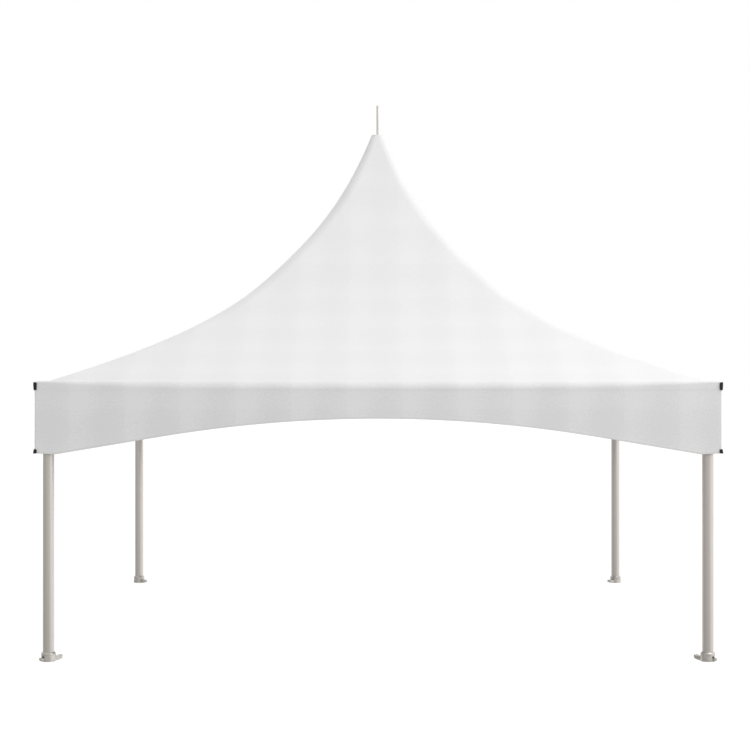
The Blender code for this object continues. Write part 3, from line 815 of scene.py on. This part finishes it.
class MARQUEE_OT_valance(bpy.types.Operator):
    """Makes the valance as one band round the tent, with a taped and beaded hem"""

    bl_idname = "marquee.valance"
    bl_label = "Valance"

    def execute(self, context):
        sizes = context.scene.marquee_sizes
        (x,), (y,), bearing = side_plan(EAVE_HALF - sizes.cloth, flats=150, arcs=8)
        cos, sin = np.cos(bearing), np.sin(bearing)
        hem = hem_height(x)
        ripple = sizes.ripple * np.sin(math.tau * (x / sizes.strip) + RIPPLE_START)
        share = np.linspace(0, 1, 25)[:, None]
        top = SEAM_Z + SEAM_LAP
        height = top + (hem + sizes.bead - top) * share
        swell = ripple * np.sin(math.pi / 2 * share) - CLOTH_GAP
        weld = np.abs(height - SEAM_Z) + SEAM_NARROWER
        points = stacked(x + swell * cos, y + swell * sin, height)
        cloth_piece("valance", surface(points, stacked(x, height - SEAM_Z), weld=weld), sizes.cloth)

        bead = np.radians(np.linspace(*TAPE_WRAP, 13))
        face = sizes.bead * math.cos(bead[0])
        side = [face - TAPE_EDGE, face, face]
        flap = [sizes.hem, sizes.hem - TAPE_EDGE, sizes.hem * 0.5]
        out = np.concatenate([side, sizes.bead * np.cos(bead), [-at for at in side[::-1]]])
        up = np.concatenate([flap, sizes.bead * (1 + np.sin(bead)), flap[::-1]])
        out, up = looped(out[:, None]), looped(up[:, None])
        wrapped = np.hypot(*(np.diff(at, axis=0, prepend=0) for at in (out, up))).cumsum(axis=0)
        swell = out + ripple - CLOTH_GAP - sizes.cloth / 2
        points = stacked(x + swell * cos, y + swell * sin, hem + up)
        # The hem tape's greyer colour paints shade along the hem.
        piece("hem_tape", all_round(surface(points, stacked(x, wrapped), weld=1.0)), "tape")
        return {"FINISHED"}


class MARQUEE_OT_straps(bpy.types.Operator):
    bl_idname = "marquee.straps"
    bl_label = "Corner straps"

    def execute(self, context):
        radius = hip_radius(EAVE_HALF)
        centre = EAVE_HALF - radius
        arc = np.linspace(0, math.pi / 2, 9)
        bend = np.stack([np.cos(arc), np.sin(arc)], axis=1)
        near = [(centre + radius, centre - TAB_ARM + step) for step in (0.0, *TAB_STEPS)]
        far = [(centre - step, centre + radius) for step in (*TAB_STEPS, TAB_ARM)]
        line = np.concatenate([near, centre + radius * bend, far])
        outward = np.concatenate([[(1, 0)] * len(near), bend, [(0, 1)] * len(far)])
        along = lengths(line)
        to_middle = np.abs(along / (along[-1] / 2) - 1)[:, None]
        reach = 1 - to_middle**3
        taper = 1 - TAB_TAPER * to_middle
        turn = np.linspace(0, math.tau, 33)
        round_x, round_z = (
            np.sign(wave) * np.abs(wave) ** power
            for wave, power in zip((np.cos(turn), np.sin(turn)), TAB_POWERS)
        )
        names = []
        for name, low, high, lean in TABS:
            thick = TAB_HALF + TAB_MIDDLE * reach
            off = TAB_OFF + thick * (1 + round_x) * (1 + lean * round_z)
            across = line[:, None] + off[:, :, None] * outward[:, None]
            tall = (high - low) / 2 * taper * (0.96 + 0.04 * reach)
            points = stacked(across[:, :, 0], across[:, :, 1], (low + high) / 2 + tall * round_z)
            first, last = (
                np.broadcast_to(ring.mean(axis=1, keepdims=True), ring.shape)
                for ring in (points[:1], points[-1:])
            )
            tab = surface(np.concatenate([first, points, last]))
            names += pieces(CORNERS, (f"webbing_tab_{name}", tab, "webbing", f"corner_strap_{name}"))
        return {"FINISHED"}


# Frame


def leg_place(quarter):
    """A leg's bearing from the mast, anticlockwise from +X, and its place on the ground."""
    bearing = math.pi / 2 * quarter + math.pi / 4
    out = LEG_OFFSET * math.sqrt(2)
    return bearing, (out * math.cos(bearing), out * math.sin(bearing), 0)


class MARQUEE_OT_legs(bpy.types.Operator):
    """Makes the four round legs"""

    bl_idname = "marquee.legs"
    bl_label = "Legs"

    def execute(self, context):
        leg = tube(LEG_RADIUS, FOOT_SEAT_Z + GAP, BEAM_BOTTOM_Z - GAP, 96)
        for quarter, corner in enumerate(CORNERS):
            here = moved(leg, np.add, leg_place(quarter)[1])
            piece(f"leg_tube_{corner}", here, "alloy", [f"leg_{corner}"])
        return {"FINISHED"}


def upturned(points, lift):
    """A foot's ear bent up towards its tip and made thinner there."""
    tip = points[:, 0].max()
    share = np.clip((points[:, 0] - EAR_ROOT) / (tip - EAR_ROOT), 0, 1)
    height = lift * share**1.5 + points[:, 2] * (1 - 0.25 * share)
    return np.stack([points[:, 0], points[:, 1], height], axis=1)


def ear(out, lift, hole, radius, back, high, edge):
    """A foot's ear along +X, its stake hole `out` from the leg's middle and its tip raised by `lift`."""
    flat = moved(eye(hole, radius, back, EAR_LOW_Z, high, edge), np.add, (out, 0, 0))
    return moved(flat, upturned, lift)


def foot():
    """A plate under a lipped collar, with a long ear along +X and a short one along -X."""
    bore = LEG_RADIUS + GAP
    corners = [
        (0, 0),
        (FOOT_RADIUS, 0),
        (FOOT_RADIUS, 0.020),
        (WAIST_RADIUS, 0.038),
        (WAIST_RADIUS, 0.058),
        (LIP_RADIUS, 0.069),
        (MOUTH_RADIUS, FOOT_TOP_Z),
        (bore, FOOT_TOP_Z),
        (bore, FOOT_SEAT_Z),
        (0, FOOT_SEAT_Z),
    ]
    collar = turned(rounded(corners, [0, 0.0025, 0.009, 0.009, 0.009, 0.004, 0.002, 0, 0, 0]), 96)
    long = ear(out=0.114, lift=0.017, hole=0.0115, radius=0.030, back=0.060, high=0.038, edge=0.007)
    short = ear(out=0.077, lift=0.015, hole=0.0065, radius=0.019, back=0.021, high=0.032, edge=0.005)
    return collar + long + moved(short, np.multiply, (-1, -1, 1))


class MARQUEE_OT_base_plates(bpy.types.Operator):
    """Makes the cast feet: a plate with two ears, a lipped collar and a set screw"""

    bl_idname = "marquee.base_plates"
    bl_label = "Base plates"

    def execute(self, context):
        head = [(0, 0), (0.0082, 0), (0.0082, 0.0072), (0.0042, 0.0080), (0.0042, 0.0046), (0, 0.0046)]
        screw = disc(0.0094, -0.004, 0.0012, 0.0005) + turned(rounded(head, 0.0008), 32)
        for quarter, corner in enumerate(CORNERS):
            bearing, place = leg_place(quarter)
            inward = (-math.cos(bearing), -math.sin(bearing), 0)
            sideways = (math.sin(bearing), -math.cos(bearing), 0)
            casting = moved(foot(), on_axes, place, inward, sideways, (0, 0, 1))
            piece(f"cast_foot_{corner}", casting, "casting", [f"base_plate_{corner}"])
            bearing += SCREW_BEARING if quarter % 2 == 0 else -SCREW_BEARING
            out = np.array([math.cos(bearing), math.sin(bearing), 0])
            side = (-out[1], out[0], 0)
            seat = place + (WAIST_RADIUS - 0.0005) * out + (0, 0, SCREW_Z)
            piece(f"set_screw_{corner}", moved(screw, on_axes, seat, side, (0, 0, 1), out), "screw")
        return {"FINISHED"}


class MARQUEE_OT_beams(bpy.types.Operator):
    """Makes the four eave beams as extrusions with a channel on the inner face and two grooves below"""

    bl_idname = "marquee.beams"
    bl_label = "Eave beams"

    def execute(self, context):
        back, low, top, edge = BEAM_BACK, BEAM_BOTTOM_Z, BEAM_TOP_Z, 0.003
        slant, wide, depth = 0.0008, 0.0030, 0.0025
        lip = back + 0.005
        groove = ((0, 0), (slant, depth), (wide, depth), (wide + slant, 0))
        arc = np.linspace(0, math.pi / 2, 13)[:, None]
        crown = BEAM_ROUND * np.hstack([np.cos(arc), np.sin(arc)])
        outline = np.concatenate(
            [
                rounded([(back, low + 0.030), (back, low), (back + 0.02, low)], edge)[1:-1],
                [(back + at + step, low + deep) for at in (0.030, 0.087) for step, deep in groove],
                rounded([(back + 0.1, low), (BEAM_FACE, low), (BEAM_FACE, low + 0.02)], edge)[1:-1],
                (BEAM_FACE - BEAM_ROUND, top - BEAM_ROUND) + crown,
                rounded([(back + 0.02, top), (back, top), (back, top - 0.02)], edge)[1:-1],
                [(back, low + 0.068), (lip, low + 0.067), (lip, low + 0.053), (back, low + 0.052)],
            ]
        )
        outline = looped(outline)
        end = BLOCK_INNER - GAP
        x = np.array([-end, -end, -1.0, 1.0, end, end])[:, None]
        ring = np.broadcast_to(outline, (len(x), *outline.shape)).copy()
        ring[[0, -1]] = outline[:-1].mean(axis=0)
        beam = surface(stacked(x, -ring[:, :, 0], ring[:, :, 1]), stacked(lengths(outline), x))
        pieces(SIDES, ("eave_extrusion", beam, "alloy", "eave_beam"))
        return {"FINISHED"}


def corner_block(edge):
    """The block that joins two beams, under the cloth of the corner.

    Each ring is a square with one rounded corner, which follows the CAD model's cloth at its height, `clear`
    inside it. The bottom edge is a quarter round.
    """
    clear = 0.0053
    angle = np.linspace(0, math.pi / 2, 9)
    inset, drop = round_edge(edge)
    half = EAVE_HALF - EAVE_ROUND + EAVE_ROUND * np.cos(angle)
    half = np.concatenate([np.full(len(inset), EAVE_HALF), half])
    level = EAVE_TOP_Z - EAVE_ROUND + (EAVE_ROUND - clear) * np.sin(angle)
    level = np.concatenate([BEAM_BOTTOM_Z + drop[::-1], level])
    lean = np.concatenate([clear + inset[::-1], clear * np.cos(angle)])
    shrink = np.concatenate([inset[::-1], np.zeros(len(angle))])
    radius = hip_radius(half)
    centre = (half - radius)[:, None]
    radius = (radius - lean)[:, None]
    arc = np.linspace(0, math.pi / 2, 13)
    inner = (BLOCK_INNER + shrink)[:, None]
    x = np.hstack([inner, centre + radius, centre + radius * np.cos(arc), inner])
    y = np.hstack([inner, inner, centre + radius * np.sin(arc), centre + radius])
    return capped(stacked(x, y, level[:, None]))


class MARQUEE_OT_corner_fittings(bpy.types.Operator):
    """Makes the cast corner blocks with spigots and cable lugs, and the bolts that hold beams and legs"""

    bl_idname = "marquee.corner_fittings"
    bl_label = "Corner fittings"

    def execute(self, context):
        low = BEAM_BOTTOM_Z + 0.0043
        spigot = slab(box_outline(0.085, 0.0555, 0.004), low, low + 0.058, 0.002)
        reach, across = BLOCK_INNER - 0.065, (BEAM_BACK + BEAM_FACE) / 2
        along_x = moved(spigot, np.add, (reach, across, 0))
        along_y = moved(spigot, on_axes, (across, reach, 0), (0, 1, 0), (-1, 0, 0), (0, 0, 1))
        plug = disc(0.0477, -0.140, 0.0, 0.002, sides=64)
        plug = moved(plug, np.add, (LEG_OFFSET, LEG_OFFSET, BEAM_BOTTOM_Z + 0.002))
        out, height = CABLE_CORNER
        lug = eye(LUG_HOLE, 0.027, 0.075, -LUG_HALF, LUG_HALF, 0.002)
        lug = moved(lug, on_axes, (out + 0.026, 0, height), (-1, 0, 0), (0, 0, 1), (0, 1, 0))
        lug = moved(lug, on_diagonal)
        casting = corner_block(context.scene.marquee_sizes.casting) + along_x + along_y + plug + lug
        bolts = []
        for row in BOLT_ROWS:
            place = (BLOCK_INNER - row, BEAM_BACK, low + 0.030)
            through = moved(bolt(), on_axes, place, (1, 0, 0), (0, 0, 1), (0, -1, 0))
            bolts += through + moved(through, mirrored)
        face = LEG_OFFSET - LEG_RADIUS * HALF_ROOT
        sideways, inward = (-HALF_ROOT, HALF_ROOT, 0), (-HALF_ROOT, -HALF_ROOT, 0)
        bolts += moved(bolt(), on_axes, (face, face, BEAM_BOTTOM_Z - 0.075), sideways, (0, 0, 1), inward)
        pieces(
            CORNERS,
            ("corner_casting", casting, "casting", "corner_fitting"),
            ("frame_bolts", bolts, "zinc"),
        )
        return {"FINISHED"}


# Cables


def cable_line():
    """Ends of the line from hub lug to corner lug, as (distance out, height), and its direction."""
    start, end = np.array(CABLE_HUB), np.array(CABLE_CORNER)
    return start, end, unit(end - start)


def on_cable(points, start):
    """Points as (up, sideways, along the cable), put on the rear right diagonal."""
    out, rise = cable_line()[2]
    return on_diagonal(on_axes(points, (start[0], 0, start[1]), (-rise, 0, out), (0, 1, 0), (out, 0, rise)))


def fork():
    """A jaw over a 12 mm lug that ends at height 0 and lies below: two cheeks, a yoke and a clevis pin."""
    cheek = eye(0.0062, 0.0145, 0.032, -0.0030, 0.0030, 0.0010, sides=24)
    jaw = []
    for side in (-0.0105, 0.0105):
        jaw += moved(cheek, on_axes, (0, side, -FORK_PIN), (0, 0, -1), (1, 0, 0), (0, 1, 0))
    yoke = slab(box_outline(0.0125, 0.0135, 0.003), 0.004, 0.020, 0.002)
    pin = [(0, -0.017), (0.0095, -0.017), (0.0095, -0.0138), (0.0060, -0.0138), (0.0060, 0.0180), (0, 0.0180)]
    pin = turned(rounded(pin, 0.0007), 24)
    return jaw + yoke + moved(pin, on_axes, (0, 0, -FORK_PIN), (1, 0, 0), (0, 0, 1), (0, 1, 0))


def sleeve(low, high, taper):
    """A sleeve pressed on a rope, blunt at `low` and drawn in over `taper` past `high`."""
    neck = high + taper
    profile = [(0, low), (SLEEVE_RADIUS, low), (SLEEVE_RADIUS, high), (SLEEVE_NECK, neck), (0, neck)]
    return turned(rounded(profile, [0, 0.001, 0.004, 0.001, 0]), 32)


class MARQUEE_OT_cables(bpy.types.Operator):
    """Makes the four wire ropes from the mast hub, with their strands, pressed sleeves and hub forks"""

    bl_idname = "marquee.cables"
    bl_label = "Cables"

    def execute(self, context):
        sizes = context.scene.marquee_sizes
        start, end, _ = cable_line()
        rope_start, rope_end = 0.040, np.linalg.norm(end - start) - TURNBUCKLE_LENGTH - 0.002
        rows = int((rope_end - rope_start) / sizes.lay * 9)
        s = np.linspace(rope_start, rope_end, rows)[:, None]
        angle = np.linspace(0, math.tau, 5 * sizes.strands + 1)
        groove = np.abs(np.sin(sizes.strands / 2 * (angle - math.tau * s / sizes.lay)))
        radius = sizes.rope * (0.82 + 0.18 * np.sqrt(groove))
        radius[[0, -1]] = 0.0
        s[0], s[-1] = s[1], s[-2]
        # 1 - groove marks the hollows between the strands, where the rope's material paints shade.
        rope = surface(around(radius, angle, s), stacked(sizes.rope * angle, s), groove=1 - groove)
        hub_end = fork() + moved(sleeve(0, 0.060, 0.006), np.add, (0, 0, 0.018))
        pieces(
            CORNERS,
            ("wire_rope", moved(rope, on_cable, start), "rope", "cable"),
            ("hub_fork", moved(hub_end, on_cable, start), "zinc"),
        )
        return {"FINISHED"}


class MARQUEE_OT_turnbuckles(bpy.types.Operator):
    """Makes the four turnbuckles: closed body, threaded rods, nuts, rope sleeve and the fork on the lug"""

    bl_idname = "marquee.turnbuckles"
    bl_label = "Turnbuckles"

    def execute(self, context):
        sizes = context.scene.marquee_sizes
        _, end, along = cable_line()
        low = (TURNBUCKLE_LENGTH - TURNBUCKLE_BODY) / 2
        high = low + TURNBUCKLE_BODY
        thin, thick, neck = 0.0105, 0.014, 0.006
        body = [(0, low), (thin, low), (thick, low + neck), (thick, high - neck), (thin, high), (0, high)]
        rows = int(TURNBUCKLE_LENGTH / sizes.thread * 6)
        z = np.linspace(0.012, TURNBUCKLE_LENGTH - 0.012, rows)[:, None]
        angle = np.linspace(0, math.tau, 19)
        radius = THREAD_RADIUS + 0.0008 * np.cos(math.tau * z / sizes.thread - angle)
        nut, nut_gap = hex_nut(0.019, 0.009), 0.0006
        parts = turned(rounded(body, 0.003), 48) + surface(around(radius, angle, z))
        parts += moved(moved(nut, np.multiply, (1, 1, -1)), np.add, (0, 0, low - nut_gap))
        parts += moved(nut, np.add, (0, 0, high + nut_gap))
        flat = turned([(0, 0), (0.0165, 0), (0.0165, 0.010), (0, 0.010)], 6)
        for place in (low + 0.010, high - 0.020):
            parts += moved(flat, np.add, (0, 0, place))
        parts += moved(sleeve(0.050, 0, -0.008), np.subtract, (0, 0, 0.004))
        parts += moved(moved(fork(), np.multiply, (1, 1, -1)), np.add, (0, 0, TURNBUCKLE_LENGTH))
        foot_end = end - TURNBUCKLE_LENGTH * along
        pieces(CORNERS, ("turnbuckle_body", moved(parts, on_cable, foot_end), "zinc", "turnbuckle"))
        return {"FINISHED"}


# Mast and peak


class MARQUEE_OT_mast(bpy.types.Operator):
    """Makes the mast tube, the cable hub under it and the head that carries the roof"""

    bl_idname = "marquee.mast"
    bl_label = "Mast"

    def execute(self, context):
        base, seat, top = 2.140, 2.165, 2.260
        piece("mast_tube", tube(MAST_RADIUS, seat + GAP, MAST_TOP_Z, 72), "alloy", ["mast"])

        core = [(0, base), (0.060, base), (0.060, seat), (MAST_INSERT, seat), (MAST_INSERT, top), (0, top)]
        core = rounded(core, [0, 0.007, 0.004, 0, 0.002, 0])
        bore = MAST_RADIUS + 0.0006
        socket = rounded([(bore, 2.163), (0.050, 2.163), (0.047, 2.205), (bore, 2.208)], 0.002, closed=True)
        out, height = CABLE_HUB
        lug = eye(LUG_HOLE, 0.026, 0.042, -LUG_HALF, LUG_HALF, 0.002)
        lug = moved(lug, on_axes, (out - 0.024, 0, height - 0.002), (1, 0, 0), (0, 0, 1), (0, -1, 0))
        hub = turned(core, 72) + turned(looped(socket), 72) + all_round(moved(lug, on_diagonal))
        piece("cable_hub", hub, "casting", ["mast_hub"])

        foot_z, shoulder = 4.9603, MAST_TOP_Z + GAP
        head = [
            (0, foot_z),
            (MAST_INSERT, foot_z),
            (MAST_INSERT, shoulder),
            (MAST_RADIUS, shoulder),
            (0.0590, 5.088),
            (0.0625, 5.0925),
            (0.0625, 5.096),
            (0, 5.096),
        ]
        head = rounded(head, [0, 0.002, 0, 0.002, 0.006, 0.003, 0.001, 0])
        piece("roof_carrier", turned(head, 72), "casting", ["mast_head"])
        return {"FINISHED"}


class MARQUEE_OT_peak(bpy.types.Operator):
    """Makes the cap on top of the roof and the spire that stands on it"""

    bl_idname = "marquee.peak"
    bl_label = "Peak"

    def execute(self, context):
        low = ROOF_TOP[1] + CLOTH_GAP
        radius, plug, flat = CAP_RADIUS + 0.002, 0.050, 0.020
        cap = [
            (0, low - 0.0020),
            (plug, low - 0.0020),
            (plug, low),
            (radius, low),
            (radius, CAP_TOP_Z - 0.0005),
            (flat, CAP_TOP_Z),
            (0, CAP_TOP_Z),
        ]
        cap = rounded(cap, [0, 0, 0, 0.0003, 0.006, 0.002, 0], steps=6)
        piece("peak_cap", turned(cap, 72, weld=1.0), "vinyl", ["mast_cap"])
        low, neck = CAP_TOP_Z + GAP, SPIRE_TOP_Z - 0.0025
        rod = [(0, low), (SPIRE_RADIUS, low), (SPIRE_RADIUS, neck), (0.006, SPIRE_TOP_Z), (0, SPIRE_TOP_Z)]
        rod = rounded(rod, [0, 0.001, 0.004, 0.003, 0])
        piece("peak_spire", turned(rod, 48, SPIRE_RADIUS), "rod", ["spire"])
        return {"FINISHED"}


# Stage


def set_camera(scene):
    data = bpy.data.cameras.new("camera")
    data.sensor_width = CAMERA_FILM
    data.lens = CAMERA_LENS
    data.clip_end = 500.0
    camera = bpy.data.objects.new("camera", data)
    camera.location = CAMERA_PLACE
    camera.rotation_euler = (math.pi / 2 + CAMERA_TILT_PIXELS / CAMERA_FOCAL_PIXELS, 0, 0)
    scene.collection.objects.link(camera)
    scene.camera = camera
    scene.view_settings.view_transform = "Standard"


def set_world(scene):
    """White to the camera; to the tent, walls blended by the squares of the direction, and a softbox."""
    world = bpy.data.worlds.new("studio")
    world.use_nodes = True
    scene.world = world
    tree = world.node_tree
    tree.nodes.clear()
    direction = node(tree, "TexCoord").outputs["Generated"]
    apart = node(tree, "SeparateXYZ", {0: direction})
    aim = node(tree, "VectorMath", {0: direction, 1: SOFTBOX_AIM}, operation="DOT_PRODUCT")
    light = aim.outputs["Value"]
    for operation, value in (("MAXIMUM", 0.0), ("POWER", SOFTBOX_EDGE), ("MULTIPLY", SOFTBOX)):
        light = node(tree, "Math", {0: light, 1: value}, operation=operation).outputs[0]
    for axis, (ahead, behind) in ROOM.items():
        square = node(tree, "Math", {0: apart.outputs[axis], 1: 2.0}, operation="POWER")
        sign = node(tree, "Math", {0: apart.outputs[axis], 1: 0.0}, operation="GREATER_THAN")
        wall = node(tree, "MapRange", {"Value": sign.outputs[0], "To Min": behind, "To Max": ahead})
        terms = {0: square.outputs[0], 1: wall.outputs[0], 2: light}
        light = node(tree, "Math", terms, operation="MULTIPLY_ADD").outputs[0]
    lit = node(tree, "Background", {"Color": (1, 1, 1, 1), "Strength": light})
    seen = node(tree, "Background", {"Color": (1, 1, 1, 1), "Strength": 1.0})
    ray = node(tree, "LightPath").outputs["Is Camera Ray"]
    both = node(tree, "MixShader", {0: ray, 1: lit.outputs[0], 2: seen.outputs[0]})
    node(tree, "OutputWorld", {"Surface": both.outputs[0]})


def set_lamp(scene):
    key = bpy.data.lights.new("key", "AREA")
    key.shape = "DISK"
    key.size = KEY_SIZE
    key.energy = KEY
    lamp = bpy.data.objects.new("key", key)
    lamp.location = KEY_PLACE
    lamp.rotation_euler = (Vector(KEY_PLACE) - Vector(KEY_TARGET)).to_track_quat("Z", "Y").to_euler()
    lamp.visible_camera = False
    scene.collection.objects.link(lamp)


def set_floor(scene):
    """White paper that fades into the backdrop: a glowing disc that casts no light or shade on the tent."""
    paper, tree = start_material(
        "floor_paper",
        Roughness=0.9,
        Specular_IOR_Level=0.0,
        Emission_Color=(1, 1, 1, 1),
        Emission_Strength=FLOOR_GLOW,
    )
    where = node(tree, "TexCoord").outputs["Object"]
    fibre = node(tree, "TexNoise", {"Vector": where, "Scale": 3.0, "Detail": 2.0}).outputs["Fac"]
    greys = {0: fibre, 6: (0.22, 0.22, 0.22, 1), 7: (0.24, 0.24, 0.24, 1)}
    tone = node(tree, "Mix", greys, data_type="RGBA").outputs[2]
    tree.links.new(tone, tree.nodes["Principled BSDF"].inputs["Base Color"])
    rings = around(np.array(FLOOR_RINGS)[:, None], np.linspace(0, math.tau, 65), FLOOR_Z)
    grid = surface(rings)[0]
    mesh = bpy.data.meshes.new("floor")
    mesh.from_pydata(grid["points"].tolist(), [], grid["faces"].tolist())
    mesh.materials.append(paper)
    floor = bpy.data.objects.new("floor", mesh)
    scene.collection.objects.link(floor)
    floor.visible_diffuse = False
    floor.visible_glossy = False
    floor.visible_shadow = False


class MARQUEE_OT_stage(bpy.types.Operator):
    """Sets the camera, the floor, a bright even backdrop and soft light that is stronger from the right"""

    bl_idname = "marquee.stage"
    bl_label = "Stage"

    def execute(self, context):
        for setting in (set_camera, set_world, set_lamp, set_floor):
            setting(context.scene)
        return {"FINISHED"}


OPERATORS = (
    MARQUEE_OT_stage,
    MARQUEE_OT_canopy,
    MARQUEE_OT_valance,
    MARQUEE_OT_straps,
    MARQUEE_OT_legs,
    MARQUEE_OT_base_plates,
    MARQUEE_OT_beams,
    MARQUEE_OT_corner_fittings,
    MARQUEE_OT_cables,
    MARQUEE_OT_turnbuckles,
    MARQUEE_OT_mast,
    MARQUEE_OT_peak,
)


class MARQUEE_PT_panel(bpy.types.Panel):
    """Lists the tent's pieces and their sizes"""

    bl_idname = "MARQUEE_PT_panel"
    bl_label = "Marquee tent"
    bl_space_type = "VIEW_3D"
    bl_region_type = "UI"
    bl_category = "Marquee"

    def draw(self, context):
        for operator in OPERATORS:
            self.layout.operator(operator.bl_idname)
        for group in (context.scene.marquee_sizes, context.scene.marquee_colours):
            column = self.layout.column(align=True)
            for name in group.__annotations__:
                column.prop(group, name)


CLASSES = (MarqueeSizes, MarqueeColours, *OPERATORS, MARQUEE_PT_panel)


def register():
    for kind in CLASSES:
        bpy.utils.register_class(kind)
    bpy.types.Scene.marquee_sizes = PointerProperty(type=MarqueeSizes)
    bpy.types.Scene.marquee_colours = PointerProperty(type=MarqueeColours)


def unregister():
    del bpy.types.Scene.marquee_colours
    del bpy.types.Scene.marquee_sizes
    for kind in reversed(CLASSES):
        bpy.utils.unregister_class(kind)


def main():
    register()
    scene = bpy.context.scene
    materials.update(make_materials(scene.marquee_sizes, scene.marquee_colours))
    for operator in OPERATORS:
        group, name = operator.bl_idname.split(".")
        getattr(getattr(bpy.ops, group), name)()


if __name__ == "__main__":
    main()
